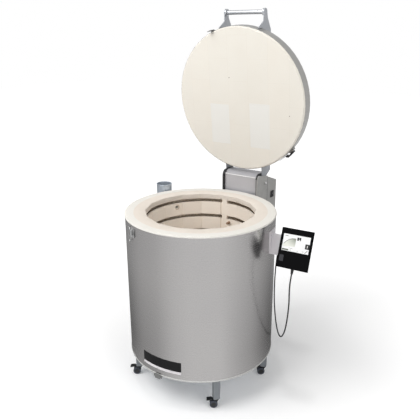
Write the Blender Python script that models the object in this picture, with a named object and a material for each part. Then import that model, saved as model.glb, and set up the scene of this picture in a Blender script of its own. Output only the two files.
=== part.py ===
"""Top-loading kiln on casters, with its lid open and a hung controller, in metres with +Z up.

The kiln stands on the floor with its front toward -Y. Places are measured from the kiln's upright axis,
and one empty then moves everything so that the middle of the footprint is at the origin.
"""

import math

import bmesh
import bpy
from mathutils import Matrix, Vector

TURN = 2 * math.pi
SHARP = math.radians(32)

# Gap left between pieces that touch, and how far a cutter runs past what it cuts
CLEAR = 0.0003
OVERRUN = 0.02

# How finely round pieces are drawn, in sides
BIG_SIDES = 64
PIPE_SIDES = 20
SMALL_SIDES = 16

# Round body: sheet casing, white rim collar, sixteen-sided brick chamber
CASING_RADIUS = 0.375
CASING_WALL = 0.002
CASING_BOTTOM = 0.168
CASING_HEM = 0.012
RIM_HEIGHT = 0.916
COLLAR_HEIGHT = 0.024
COLLAR_OVERHANG = 0.003
COLLAR_ROUND = 0.006
WALL_DEPTH = 0.105
CHAMBER_FACETS = 16
BRICK_WALL = 0.064
PAN_THICKNESS = 0.003
FLOOR_WOOL = 0.062
FLOOR_BRICK = 0.064
AIR_HOLE_RADIUS = 0.010
PAN_HOLE_RADIUS = 0.020

# Element grooves round the chamber, broken at the back by one land
GROOVE_COUNT = 7
GROOVE_FLOOR_GAP = 0.0381
GROOVE_HEIGHT = 0.020
GROOVE_DEPTH = 0.020
GROOVE_DROP = 0.027
LAND_FROM = math.radians(-170.99)
LAND_TO = math.radians(-177.29)
ELEMENT_RADIUS = 0.0065
ELEMENT_INSET = 0.0115
ELEMENT_POINTS = 33
ELEMENT_SIDES = 6
ELEMENT_STOP = math.radians(0.9)

# Thermocouple through the back wall
PROBE_X = 0.004
PROBE_DROP = 0.151
PROBE_RADIUS = 0.004
PROBE_REACH = 0.009
PROBE_HEAD_RADIUS = 0.012
PROBE_HEAD_LENGTH = 0.034

# Vent: a ceramic sleeve through the wall and a bent pipe outside
VENT_AZIMUTH = math.radians(-117)
VENT_DROP = 0.068
SLEEVE_RADIUS = 0.012
SLEEVE_BORE = 0.008
VENT_PIPE_RADIUS = 0.042
VENT_PIPE_WALL = 0.002
VENT_OUT = 0.055
VENT_BEND = 0.055
VENT_RISE = 0.028
VENT_BEND_STEPS = 7

# Four legs with twin-wheel casters
LEG_INSET = 0.035
FRONT_LEG_AZIMUTH = math.radians(46.5)
REAR_LEG_AZIMUTH = math.radians(112.5)
LEG_WIDTH = 0.034
LEG_EDGE = 0.004
LEG_PLATE = 0.054
LEG_PLATE_THICKNESS = 0.004
CASTER_HEIGHT = 0.0487
CASTER_TRAIL = 0.013
CASTER_HEADING = math.radians(214.5)
STEM_RADIUS = 0.004
STEM_DEPTH = 0.0075
WHEEL_RADIUS = 0.020
WHEEL_SIDES = 20
WHEEL_OUTER = 0.0155
WHEEL_INNER = 0.0048
WHEEL_SHOULDER = 0.002
WHEEL_DISH = 0.0025
WHEEL_HUB = 0.009
AXLE_RADIUS = 0.003
WEB_HALF = 0.004
WEB_BACK_SHARE = 0.8
WEB_WAIST_SHARE = 0.3
WEB_FRONT_SHARE = 0.6
WAIST_RISE_SHARE = 1.3
HEAD_RADIUS = 0.0135
HEAD_THICKNESS = 0.0078
PEDAL_PIVOT = 0.0190
PEDAL_TIP = 0.048
PEDAL_HALF = 0.012
PEDAL_THICKNESS = 0.0030
PEDAL_PIN = 0.0015
EAR_GAP = 0.0006
EAR_THICKNESS = 0.0030

# Air slide under the base
SLIDE_HALF = 0.025
SLIDE_THICKNESS = 0.002
SLIDE_DROP = 0.0015
SLIDE_HANDLE_HEIGHT = 0.015
SLIDE_HANDLE_BOTTOM = 0.157
SLIDE_HANDLE_GAP = 0.0015
RAIL_WIDTH = 0.006
RAIL_LIP = 0.004
RAIL_INSET = 0.020
RAIL_BACK = 0.040

# Latch on the front of the casing
LATCH_AZIMUTH = math.radians(-22.7)
LATCH_DROP = 0.068
LATCH_LENGTH = 0.040
LATCH_HALF = 0.013
LATCH_PLATE = 0.002
LATCH_PIVOT_RISE = 0.007
LATCH_PIVOT_OUT = 0.0075
LATCH_EAR = 0.0025
LATCH_PIN = 0.002
LEVER_HALF = 0.0085
LEVER_LENGTH = 0.026
LEVER_THICKNESS = 0.0022
HOOK_HALF = 0.004
HOOK_WIRE = 0.0015
HOOK_PIN = 0.00105
HOOK_NECK_SHARE = 0.4
HOOK_PIVOT_RISE = 0.010
HOOK_LENGTH = 0.022

# Hinge: frame behind the casing, spring cover with end caps, shaft
HINGE_OUT = 0.080
HINGE_RISE = 0.049
LID_OPEN = math.radians(83.5)
CHEEK_OUT = 0.021
CHEEK_THICKNESS = 0.002
CHEEK_LAP = 0.015
LEFT_CHEEK_REACH = 0.050
CHEEK_DROP = 0.296
CHEEK_RISE = 0.055
CHEEK_BACK_RISE = 0.035
CHEEK_NOSE = 0.017
FRAME_BEHIND = 0.0267
SHELF_THICKNESS = 0.004
SHELF_DROP = 0.071
WEB_OUT = 0.009
WEB_RISE = 0.025
SHAFT_RADIUS = 0.008
SHAFT_NECK = 0.005
BOLT_HEAD = 0.0095
BOLT_HEAD_LENGTH = 0.006
BOLT_CROWN = 0.0067
BOLT_DOME = 0.0024
COVER_HALF = 0.100
COVER_REACH = 0.065
COVER_BEHIND = 0.020
COVER_DROP = 0.105
CREASE_RISE = 0.038
COVER_RISE = 0.056
COVER_BEVEL = 0.0275
COVER_WALL = 0.002
CAP_WIDTH = 0.010
CAP_LIP = 0.012
CAP_RISE = 0.0025
CAP_ROUND = 0.030
SPRING_RADIUS = 0.016
SPRING_INSET = 0.010

# Switch box at the back
BOX_DEPTH = 0.108
BOX_BOTTOM = 0.380
BOX_RISE = 0.031
BOX_BACK_DROP = 0.010
BOX_WALL = 0.002
SWITCH_BEHIND = 0.057
SWITCH_DROP = 0.074
SWITCH_HALF_Y = 0.016
SWITCH_HALF_Z = 0.018
SWITCH_DEPTH = 0.0045
SWITCH_POCKET = 0.003
ROCKER_HALF_Y = 0.008
ROCKER_HALF_Z = 0.0100
ROCKER_TILT = math.radians(7)
ROCKER_KEEL = 0.00105
ROCKER_UNDER = 0.0009
ROCKER_RISE = 0.0021
ROCKER_DIP = 0.00135
GLAND_BEHIND = 0.048
GLAND_Z = 0.620
GLAND_NUT = 0.011
GLAND_NUT_LENGTH = 0.010
GLAND_LENGTH = 0.0242
GLAND_SHOULDER = 0.00825
GLAND_TIP = 0.0055

# Lid, measured closed: brick slab, steel band with clamps, arms and handle
LID_GAP = 0.0005
LID_THICKNESS = 0.0615
LID_INSET = 0.0025
LID_CHAMFER = 0.0065
BAND_OUT = 0.0015
BAND_RISE = 0.0075
CLAMP_RIGHT_AZIMUTH = math.radians(130)
CLAMP_LEFT_AZIMUTH = math.radians(-131)
CLAMP_HALF = 0.016
CLAMP_HEIGHT = 0.022
CLAMP_OUT = 0.009
ARM_GAP = 0.0015
ARM_THICKNESS = 0.004
ARM_DROP = 0.038
ARM_INSET = 0.011
SHOULDER_INSET = 0.0325
SHOULDER_RISE = 0.092
ARM_BACK_REACH = 0.055
ARM_BACK_RISE = 0.057
KINK_OUT = 0.0155
KINK_RISE = 0.026
HEEL_REACH = 0.030
HEEL_RISE = 0.017
TAIL_DROP = 0.023
ARM_EYE = 0.022
EYE_TO = TURN / 5
BAR_OUT = 0.0555
BAR_RISE = 0.039
BAR_RADIUS = 0.011
BAR_COLLAR = 0.018
BAR_COLLAR_LENGTH = 0.007
NECK_HALF = 0.0185
NECK_RUN = 0.0286
NECK_FROM = TURN * 0.22
NECK_TO = TURN * 0.80
KEEPER_HALF = 0.010
KEEPER_OUT = 0.0050
KEEPER_THICKNESS = 0.002
KEEPER_DROP = 0.024
KEEPER_LEG = 0.040
KEEPER_ARM = 0.026

# Controller hung beside the casing, tilted up toward whoever stands in front
PANEL_OUT = 0.135
PANEL_Y = 0.015
PANEL_DROP = 0.104
PANEL_TURN = math.radians(4.3)
PANEL_TILT = math.radians(21.8)
PANEL_WIDTH = 0.155
PANEL_HEIGHT = 0.186
PANEL_THICKNESS = 0.006
PANEL_EDGE = 0.002
SHELL_DEPTH = 0.036
SHELL_INSET = 0.012
SHELL_INSET_BOTTOM = 0.005
SHELL_EDGE = 0.004
SCREEN_WIDTH = 0.129
SCREEN_HEIGHT = 0.0785
SCREEN_X = 0.0006
SCREEN_Z = 0.0262
SCREEN_THICKNESS = 0.0012
PORT_WIDTH = 0.020
PORT_HEIGHT = 0.029
PORT_X = -0.0575
PORT_Z = -0.0488
PORT_THICKNESS = 0.0016
PORT_GAP = 0.0004
BRACKET_LOW = -0.044
BRACKET_HIGH = 0.056
BRACKET_THICKNESS = 0.003
BRACKET_REACH = 0.040
BRACKET_LEFT = 0.150
FOOT_AZIMUTH = math.radians(99)
FOOT_HALF = 0.036
FOOT_DROP = 0.151
FOOT_LENGTH = 0.100
FOOT_THICKNESS = 0.003
RELIEF_Y = 0.018
RELIEF_WIDE = 0.0075
RELIEF_TIP = 0.005
RELIEF_LENGTH = 0.0276

# Cable from the controller to the switch box
CABLE_RADIUS = 0.0035
CABLE_POINTS = 84
CABLE_ROUTE = (
    (0.5127, -0.0186, 0.6810),
    (0.5130, -0.0262, 0.6520),
    (0.5120, -0.0260, 0.6100),
    (0.5060, -0.0100, 0.5400),
    (0.4870, 0.0220, 0.4400),
    (0.4520, 0.0780, 0.3350),
    (0.4050, 0.1500, 0.2500),
    (0.3520, 0.2320, 0.1950),
    (0.2970, 0.3170, 0.1770),
    (0.2480, 0.3920, 0.2000),
    (0.2080, 0.4530, 0.2650),
    (0.1860, 0.4930, 0.3600),
    (0.1800, 0.5130, 0.4600),
    (0.1812, 0.5225, 0.5200),
    (0.1822, 0.5275, 0.5580),
    (0.1826, 0.5295, 0.5760),
    (0.1826, 0.5300, 0.5870),
    (0.1801, 0.5300, 0.5994),
    (0.1731, 0.5300, 0.6100),
    (0.1626, 0.5300, 0.6170),
    (0.1540, 0.5300, 0.6196),
)

# Places worked out from the rim, the casing and the hinge, so that the pieces keep together
CHAMBER_FLAT = CASING_RADIUS - WALL_DEPTH
HINGE_BACK = CASING_RADIUS + HINGE_OUT
LID_RADIUS = CASING_RADIUS - LID_INSET
PROBE_HEIGHT = RIM_HEIGHT - PROBE_DROP
VENT_HEIGHT = RIM_HEIGHT - VENT_DROP
VENT_TOP = RIM_HEIGHT + VENT_RISE
VENT_REACH = CASING_RADIUS + VENT_OUT
LEG_CIRCLE = CASING_RADIUS - LEG_INSET
RAIL_FRONT = CASING_RADIUS - RAIL_INSET
LATCH_BOTTOM = RIM_HEIGHT - LATCH_DROP
LATCH_TOP = LATCH_BOTTOM + LATCH_LENGTH
HINGE_HEIGHT = RIM_HEIGHT + HINGE_RISE
CHEEK_FRONT = CASING_RADIUS - CHEEK_LAP
CHEEK_BOTTOM = RIM_HEIGHT - CHEEK_DROP
CHEEK_TOP = HINGE_HEIGHT + CHEEK_RISE
CHEEK_TOP_BACK = HINGE_HEIGHT + CHEEK_BACK_RISE
LEFT_CHEEK_FRONT = HINGE_BACK - LEFT_CHEEK_REACH
FRAME_BACK = HINGE_BACK + FRAME_BEHIND
UPPER_SHELF = RIM_HEIGHT - SHELF_DROP
WEB_TOP = HINGE_HEIGHT + WEB_RISE
COVER_FRONT = HINGE_BACK - COVER_REACH
COVER_BACK = HINGE_BACK + COVER_BEHIND
COVER_BOTTOM = HINGE_HEIGHT - COVER_DROP
COVER_CREASE = HINGE_HEIGHT + CREASE_RISE
COVER_TOP = HINGE_HEIGHT + COVER_RISE
CAP_FRONT = COVER_FRONT - CAP_LIP
CAP_TOP = COVER_TOP + CAP_RISE
CAP_OUTER = COVER_HALF + CAP_WIDTH
CHEEK_OUTER = COVER_HALF + CHEEK_OUT
WEB_SPREAD = COVER_HALF + WEB_OUT
SPRING_HALF = COVER_HALF - SPRING_INSET
BOX_HALF = CHEEK_OUTER
ARM_INNER = CAP_OUTER + ARM_GAP
BOX_FRONT = FRAME_BACK + CLEAR
BOX_BACK = BOX_FRONT + BOX_DEPTH
BOX_TOP_FRONT = HINGE_HEIGHT + BOX_RISE
BOX_TOP_BACK = HINGE_HEIGHT - BOX_BACK_DROP
SWITCH_Y = BOX_FRONT + SWITCH_BEHIND
SWITCH_Z = BOX_TOP_BACK - SWITCH_DROP
GLAND_Y = BOX_FRONT + GLAND_BEHIND
LID_FACE = RIM_HEIGHT + LID_GAP
LID_TOP = LID_FACE + LID_THICKNESS
BAND_OUTER = LID_RADIUS + BAND_OUT
BAND_FROM = LID_FACE + BAND_RISE
ARM_FOOT = LID_TOP - ARM_DROP
ARM_FRONT = LID_RADIUS - ARM_INSET
ARM_SHOULDER_Y = LID_RADIUS - SHOULDER_INSET
ARM_SHOULDER_Z = LID_TOP + SHOULDER_RISE
ARM_BACK_Y = HINGE_BACK - ARM_BACK_REACH
ARM_BACK_Z = LID_TOP + ARM_BACK_RISE
ARM_KINK_Y = LID_RADIUS + KINK_OUT
ARM_KINK_Z = LID_TOP + KINK_RISE
ARM_HEEL_Y = HINGE_BACK - HEEL_REACH
ARM_HEEL_Z = HINGE_HEIGHT + HEEL_RISE
ARM_TAIL_BOTTOM = HINGE_HEIGHT - TAIL_DROP
BAR_Y = LID_RADIUS + BAR_OUT
BAR_Z = LID_TOP + BAR_RISE
KEEPER_AZIMUTH = LATCH_AZIMUTH
KEEPER_BOTTOM = RIM_HEIGHT - KEEPER_DROP
KEEPER_BLOCK = KEEPER_BOTTOM + KEEPER_LEG
KEEPER_TOP = KEEPER_BLOCK + KEEPER_ARM
PANEL_X = CASING_RADIUS + PANEL_OUT
PANEL_Z = RIM_HEIGHT - PANEL_DROP
FOOT_LOW = RIM_HEIGHT - FOOT_DROP
FOOT_HIGH = FOOT_LOW + FOOT_LENGTH

# Sizes worked out from the ones above
COLLAR_BOTTOM = RIM_HEIGHT - COLLAR_HEIGHT
COLLAR_RADIUS = CASING_RADIUS + COLLAR_OVERHANG
CASING_TOP = COLLAR_BOTTOM - CLEAR
CASING_INNER = CASING_RADIUS - CASING_WALL
PAN_BOTTOM = CASING_BOTTOM + CASING_WALL + CLEAR
PAN_TOP = PAN_BOTTOM + PAN_THICKNESS
WOOL_TOP = PAN_TOP + CLEAR + FLOOR_WOOL
CHAMBER_FLOOR = WOOL_TOP + CLEAR + FLOOR_BRICK
BRICK_OUTER_FLAT = CHAMBER_FLAT + BRICK_WALL
GROOVE_RANGE = RIM_HEIGHT - GROOVE_DROP - GROOVE_HEIGHT - GROOVE_FLOOR_GAP - CHAMBER_FLOOR
GROOVE_PITCH = GROOVE_RANGE / (GROOVE_COUNT - 1)
WOOL_RADIUS = CASING_INNER - CLEAR
HALF_FACET = TURN / CHAMBER_FACETS / 2
LEG_BOTTOM = CASTER_HEIGHT + CLEAR
LEG_TOP = PAN_BOTTOM - CLEAR
FOOTPRINT_X = (PANEL_X + PANEL_WIDTH / 2 - VENT_REACH * math.sin(-VENT_AZIMUTH) - VENT_PIPE_RADIUS) / 2
FOOTPRINT_Y = (BOX_BACK - COLLAR_RADIUS) / 2


def clear_scene():
    for obj in list(bpy.data.objects):
        bpy.data.objects.remove(obj, do_unlink=True)


def material(name, colour, roughness, metallic):
    look = bpy.data.materials.new(name)
    look.use_nodes = True
    shader = look.node_tree.nodes["Principled BSDF"]
    shader.inputs["Base Color"].default_value = (*colour, 1)
    shader.inputs["Roughness"].default_value = roughness
    shader.inputs["Metallic"].default_value = metallic
    return look


def empty(name, carrier=None, place=(0, 0, 0), turn=(0, 0, 0)):
    """An empty that carries pieces at a place and a turn of its own."""
    holder = bpy.data.objects.new(name, None)
    bpy.context.scene.collection.objects.link(holder)
    holder.parent = carrier
    holder.location = place
    holder.rotation_euler = turn
    return holder


def piece(name, shape, look, carrier, place=(0, 0, 0)):
    """One named solid from a bmesh, shaded smooth where its faces meet at a low angle."""
    bmesh.ops.recalc_face_normals(shape, faces=shape.faces)
    mesh = bpy.data.meshes.new(name)
    shape.to_mesh(mesh)
    shape.free()
    mesh.materials.append(look)
    mesh.shade_smooth()
    mesh.set_sharp_from_angle(angle=SHARP)
    obj = bpy.data.objects.new(name, mesh)
    bpy.context.scene.collection.objects.link(obj)
    obj.parent = carrier
    obj.location = place
    return obj


def tool(name, shape, carrier, place=(0, 0, 0)):
    """A cutter or an added shape that takes part in Booleans only."""
    obj = piece(name, shape, LOOKS["guide"], carrier, place)
    obj.hide_render = True
    obj.display_type = "WIRE"
    return obj


def combine(target, other, operation):
    step = target.modifiers.new(other.name, "BOOLEAN")
    step.operation = operation
    step.object = other
    step.solver = "EXACT"
    return target


def bevel(target, width, segments=2, angle=SHARP):
    step = target.modifiers.new("edge", "BEVEL")
    step.width = width
    step.segments = segments
    step.limit_method = "ANGLE"
    step.angle_limit = angle
    return target


def facet_share(azimuth):
    """How much farther a flat wall is from the axis at this azimuth than at its middle."""
    return 1 / math.cos((azimuth + HALF_FACET) % (2 * HALF_FACET) - HALF_FACET)


def turned(profile, sides, flats=(), start=0.0):
    """A closed profile of (radius, height) turned round Z. Points listed in flats follow the facets."""
    shape = bmesh.new()
    poles = {i: shape.verts.new((0, 0, h)) for i, (r, h) in enumerate(profile) if r == 0}
    rings = []
    for step in range(sides):
        azimuth = start + TURN * step / sides
        ring = []
        for index, (radius, height) in enumerate(profile):
            if index in poles:
                ring.append(poles[index])
                continue
            reach = radius * facet_share(azimuth) if index in flats else radius
            ring.append(shape.verts.new((reach * math.sin(azimuth), -reach * math.cos(azimuth), height)))
        rings.append(ring)
    for step, ring in enumerate(rings):
        bridge(shape, ring, rings[(step + 1) % sides])
    return shape


def bridge(shape, ring, following):
    count = len(ring)
    for index in range(count):
        after = (index + 1) % count
        corners = list(dict.fromkeys((ring[index], ring[after], following[after], following[index])))
        if len(corners) > 2:
            shape.faces.new(corners)


def aimed(shape, axis, place=(0, 0, 0)):
    """A shape made about +Z, laid along X or Y, or left upright, and moved to its place."""
    turns = {"x": Matrix.Rotation(TURN / 4, 4, "Y"), "y": Matrix.Rotation(-TURN / 4, 4, "X"), "z": Matrix()}
    shape.transform(Matrix.Translation(Vector(place)) @ turns[axis])
    return shape


def prism(outline, axis, low, high):
    """An outline drawn square to an axis and carried along it: (y, z) for x, (x, z) for y, (x, y) for z."""
    shape = bmesh.new()
    places = {"x": (2, 0, 1), "y": (0, 2, 1), "z": (0, 1, 2)}[axis]
    ends = []
    for level in (low, high):
        ends.append([shape.verts.new([(*point, level)[i] for i in places]) for point in outline])
    shape.faces.new(ends[0])
    shape.faces.new(ends[1])
    bridge(shape, ends[0], ends[1])
    return shape


def block(x_low, x_high, y_low, y_high, z_low, z_high):
    return prism(((x_low, y_low), (x_high, y_low), (x_high, y_high), (x_low, y_high)), "z", z_low, z_high)


def circle(centre, radius, sides, first=0.0, last=TURN):
    """Points on a circle or, with a first and a last angle, on an arc with both its ends."""
    full = math.isclose(last - first, TURN)
    steps = sides if full else sides - 1
    angles = [first + (last - first) * step / steps for step in range(sides)]
    return [(centre[0] + radius * math.cos(a), centre[1] + radius * math.sin(a)) for a in angles]


def rod(axis, centre, radius, low, high, sides=SMALL_SIDES):
    return prism(circle(centre, radius, sides, TURN / sides / 2, TURN + TURN / sides / 2), axis, low, high)


def tube_along(path, outer, inner, sides):
    """An open pipe along a path of (point, direction) that lies in the local YZ plane."""
    shape = bmesh.new()
    rings = []
    for point, direction in path:
        across = direction.cross(Vector((1, 0, 0)))
        ring = []
        for radius in (outer, inner):
            for step in range(sides):
                angle = TURN * step / sides
                spoke = Vector((math.cos(angle), 0, 0)) + across * math.sin(angle)
                ring.append(shape.verts.new(point + spoke * radius))
        rings.append(ring)
    for here, there in zip(rings, rings[1:]):
        for half in (0, sides):
            bridge(shape, here[half:half + sides], there[half:half + sides])
    for ring in (rings[0], rings[-1]):
        bridge(shape, ring[:sides], ring[sides:])
    return shape


def wire(name, points, radius, look, carrier, resolution):
    """A round wire with closed ends through the given points."""
    curve = bpy.data.curves.new(name, "CURVE")
    curve.dimensions = "3D"
    curve.bevel_depth = radius
    curve.bevel_resolution = resolution
    curve.use_fill_caps = True
    line = curve.splines.new("POLY")
    line.points.add(len(points) - 1)
    for spot, point in zip(line.points, points):
        spot.co = (*point, 1)
    curve.materials.append(look)
    obj = bpy.data.objects.new(name, curve)
    bpy.context.scene.collection.objects.link(obj)
    obj.parent = carrier
    return obj


def smooth_route(route, count):
    """Evenly counted points on a Catmull-Rom curve that passes through the route's own points."""
    spots = [Vector(point) for point in route]
    spots = [2 * spots[0] - spots[1], *spots, 2 * spots[-1] - spots[-2]]
    spans = len(route) - 1
    points = []
    for step in range(count):
        along = step / (count - 1) * spans
        span = min(int(along), spans - 1)
        t = along - span
        before, here, there, after = spots[span:span + 4]
        points.append((
            2 * here + (there - before) * t + (2 * before - 5 * here + 4 * there - after) * t ** 2
            + (3 * here - before - 3 * there + after) * t ** 3
        ) / 2)
    return points


def round_at(azimuth, radius, height):
    return Vector((radius * math.sin(azimuth), -radius * math.cos(azimuth), height))


def casing(kiln):
    hem = CASING_RADIUS - CASING_HEM
    profile = (
        (CASING_RADIUS, CASING_BOTTOM),
        (CASING_RADIUS, CASING_TOP),
        (CASING_INNER, CASING_TOP),
        (CASING_INNER, CASING_BOTTOM + CASING_WALL),
        (hem, CASING_BOTTOM + CASING_WALL),
        (hem, CASING_BOTTOM),
    )
    return piece("casing", turned(profile, BIG_SIDES), LOOKS["steel"], kiln)


def rim_collar(kiln):
    edge = COLLAR_RADIUS - COLLAR_ROUND
    crown = circle((edge, RIM_HEIGHT - COLLAR_ROUND), COLLAR_ROUND, 4, 0, TURN / 4)
    profile = [(COLLAR_RADIUS, COLLAR_BOTTOM), *crown]
    profile += [(CHAMBER_FLAT, RIM_HEIGHT), (CHAMBER_FLAT, COLLAR_BOTTOM)]
    inner = (len(profile) - 2, len(profile) - 1)
    return piece("rim_collar", turned(profile, BIG_SIDES, inner), LOOKS["fibre"], kiln)


def band_profile(inner, outer, low, high):
    return ((outer, low), (outer, high), (inner, high), (inner, low))


def groove_tops():
    first = RIM_HEIGHT - GROOVE_DROP
    return [first - GROOVE_PITCH * row for row in range(GROOVE_COUNT)]


def groove_cutter(kiln):
    """Seven broken rings, open at the land where the wall keeps its full thickness."""
    corners = [LAND_FROM]
    corners += [-TURN / 2 + HALF_FACET * (2 * k + 1) for k in range(CHAMBER_FACETS)]
    corners.append(LAND_TO + TURN)
    shape = bmesh.new()
    for top in groove_tops():
        section = band_profile(CHAMBER_FLAT - OVERRUN, CHAMBER_FLAT + GROOVE_DEPTH, top - GROOVE_HEIGHT, top)
        rings = []
        for azimuth in corners:
            reach = facet_share(azimuth)
            rings.append([shape.verts.new(round_at(azimuth, r * reach, z)) for r, z in section])
        for here, there in zip(rings, rings[1:]):
            bridge(shape, here, there)
        shape.faces.new(rings[0])
        shape.faces.new(rings[-1])
    return tool("groove_cutter", shape, kiln)


def wall_bricks(kiln):
    profile = band_profile(CHAMBER_FLAT, BRICK_OUTER_FLAT, WOOL_TOP + CLEAR, CASING_TOP)
    shape = turned(profile, CHAMBER_FACETS, range(len(profile)), HALF_FACET)
    wall = piece("wall_bricks", shape, LOOKS["brick"], kiln)
    return combine(wall, groove_cutter(kiln), "DIFFERENCE")


def floor_layers(kiln):
    """A brick slab that fills the wall's foot, on insulation that carries slab and wall."""
    flats = range(4)
    slab = band_profile(AIR_HOLE_RADIUS, CHAMBER_FLAT - CLEAR, WOOL_TOP + CLEAR, CHAMBER_FLOOR)
    piece("floor_slab", turned(slab, CHAMBER_FACETS, flats, HALF_FACET), LOOKS["brick"], kiln)
    wool = band_profile(AIR_HOLE_RADIUS, BRICK_OUTER_FLAT, PAN_TOP + CLEAR, WOOL_TOP)
    piece("floor_insulation", turned(wool, CHAMBER_FACETS, flats, HALF_FACET), LOOKS["wool"], kiln)


def wall_insulation(kiln):
    profile = band_profile(BRICK_OUTER_FLAT + CLEAR, WOOL_RADIUS, PAN_TOP + CLEAR, CASING_TOP)
    return piece("wall_insulation", turned(profile, BIG_SIDES, (2, 3)), LOOKS["wool"], kiln)


def heating_elements(kiln):
    """One element in each groove, lying on the groove's floor and ending at the land."""
    first = LAND_FROM + ELEMENT_STOP
    last = LAND_TO + TURN - ELEMENT_STOP
    for row, top in enumerate(groove_tops(), start=1):
        height = top - GROOVE_HEIGHT + CLEAR + ELEMENT_RADIUS * math.cos(TURN / ELEMENT_SIDES / 2)
        points = []
        for step in range(ELEMENT_POINTS):
            azimuth = first + (last - first) * step / (ELEMENT_POINTS - 1)
            points.append(round_at(azimuth, CHAMBER_FLAT + ELEMENT_INSET, height))
        wire(f"heating_element_{row}", points, ELEMENT_RADIUS, LOOKS["element"], kiln, 1)


def thermocouple(kiln, walls):
    """A sheathed probe that shows in the chamber, with its head between the casing and the hinge frame."""
    head_from = CASING_RADIUS + CLEAR
    head_to = head_from + PROBE_HEAD_LENGTH
    tip = CHAMBER_FLAT - PROBE_REACH
    profile = (
        (0, tip),
        (PROBE_RADIUS, tip),
        (PROBE_RADIUS, head_from),
        (PROBE_HEAD_RADIUS, head_from),
        (PROBE_HEAD_RADIUS, head_to),
        (0, head_to),
    )
    shape = aimed(turned(profile, SMALL_SIDES), "y", (PROBE_X, 0, PROBE_HEIGHT))
    piece("thermocouple", shape, LOOKS["ceramic"], kiln)
    hole = rod("y", (PROBE_X, PROBE_HEIGHT), PROBE_RADIUS + CLEAR, tip, head_to)
    drill = tool("probe_drill", hole, kiln)
    for wall in walls:
        combine(wall, drill, "DIFFERENCE")


def vent(kiln, walls, outside):
    """A sleeve through brick, wool and casing, and a wide bent pipe that turns the air upward."""
    side = empty("vent_side", kiln, turn=(0, 0, VENT_AZIMUTH))
    inner = CHAMBER_FLAT * facet_share(VENT_AZIMUTH) + CASING_WALL
    centre = (0, VENT_HEIGHT)
    sleeve = turned(band_profile(SLEEVE_BORE, SLEEVE_RADIUS, -CASING_RADIUS, -inner), SMALL_SIDES)
    piece("vent_sleeve", aimed(sleeve, "y", (0, 0, VENT_HEIGHT)), LOOKS["ceramic"], side)
    hole = rod("y", centre, SLEEVE_RADIUS + CLEAR, -CASING_RADIUS - OVERRUN, -CHAMBER_FLAT + OVERRUN)
    drill = tool("vent_drill", hole, side)
    for wall in walls:
        combine(wall, drill, "DIFFERENCE")
    start = -VENT_REACH + VENT_BEND
    path = [(Vector((0, start + OVERRUN, VENT_HEIGHT)), Vector((0, -1, 0)))]
    for step in range(VENT_BEND_STEPS):
        angle = TURN / 4 * step / (VENT_BEND_STEPS - 1)
        lead = VENT_BEND * math.sin(angle)
        rise = VENT_BEND * (1 - math.cos(angle))
        direction = Vector((0, -math.cos(angle), math.sin(angle)))
        path.append((Vector((0, start - lead, VENT_HEIGHT + rise)), direction))
    path.append((Vector((0, -VENT_REACH, VENT_TOP)), Vector((0, 0, 1))))
    pipe = tube_along(path, VENT_PIPE_RADIUS, VENT_PIPE_RADIUS - VENT_PIPE_WALL, PIPE_SIDES)
    outlet = piece("vent_outlet", pipe, LOOKS["grey"], side)
    combine(outlet, outside, "DIFFERENCE")


def base_pan(kiln):
    """The steel floor, with an air hole and two rails that hold the slide."""
    profile = band_profile(PAN_HOLE_RADIUS, CASING_INNER - CLEAR, PAN_BOTTOM, PAN_TOP)
    pan = piece("base_pan", turned(profile, BIG_SIDES), LOOKS["grey"], kiln)
    slot_top = CASING_BOTTOM - SLIDE_DROP + CLEAR
    slot_bottom = slot_top - SLIDE_THICKNESS - 2 * CLEAR
    lip_bottom = slot_bottom - SLIDE_THICKNESS
    seat = PAN_BOTTOM + PAN_THICKNESS / 2
    for side, name in ((-1, "left_rail"), (1, "right_rail")):
        edge = SLIDE_HALF + 2 * CLEAR
        outline = (
            (side * edge, seat),
            (side * (edge + RAIL_WIDTH), seat),
            (side * (edge + RAIL_WIDTH), lip_bottom),
            (side * (edge - RAIL_LIP), lip_bottom),
            (side * (edge - RAIL_LIP), slot_bottom),
            (side * edge, slot_bottom),
        )
        combine(pan, tool(name, prism(outline, "y", -RAIL_FRONT, RAIL_BACK), kiln), "UNION")
    return pan


def air_slide(kiln):
    top = CASING_BOTTOM - SLIDE_DROP
    bottom = top - SLIDE_THICKNESS
    front = -CASING_RADIUS - SLIDE_HANDLE_GAP
    handle_top = SLIDE_HANDLE_BOTTOM + SLIDE_HANDLE_HEIGHT
    outline = (
        (PAN_HOLE_RADIUS * 1.5, bottom),
        (PAN_HOLE_RADIUS * 1.5, top),
        (front, top),
        (front, handle_top),
        (front - SLIDE_THICKNESS, handle_top),
        (front - SLIDE_THICKNESS, SLIDE_HANDLE_BOTTOM),
        (front, SLIDE_HANDLE_BOTTOM),
        (front, bottom),
    )
    return piece("air_slide", prism(outline, "x", -SLIDE_HALF, SLIDE_HALF), LOOKS["steel"], kiln)


def leg_azimuths():
    return {
        "front_left": -FRONT_LEG_AZIMUTH,
        "front_right": FRONT_LEG_AZIMUTH,
        "rear_left": -REAR_LEG_AZIMUTH,
        "rear_right": REAR_LEG_AZIMUTH,
    }


def leg(kiln, place, azimuth):
    """A square tube with a top plate under the pan and the caster's pin in its foot."""
    spot = empty(f"{place}_leg_spot", kiln, round_at(azimuth, LEG_CIRCLE, 0), (0, 0, azimuth))
    half = LEG_WIDTH / 2
    post = piece(f"{place}_leg", block(-half, half, -half, half, LEG_BOTTOM, LEG_TOP), LOOKS["blue_grey"], spot)
    bevel(post, LEG_EDGE, 2)
    wide = LEG_PLATE / 2
    plate = block(-wide, wide, -half, LEG_PLATE - half, LEG_TOP - LEG_PLATE_THICKNESS, LEG_TOP)
    combine(post, tool(f"{place}_leg_plate", plate, spot), "UNION")
    pin = rod("z", (0, 0), STEM_RADIUS, LEG_BOTTOM - STEM_DEPTH, LEG_BOTTOM + OVERRUN)
    combine(post, tool(f"{place}_stem", pin, spot), "UNION")


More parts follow.
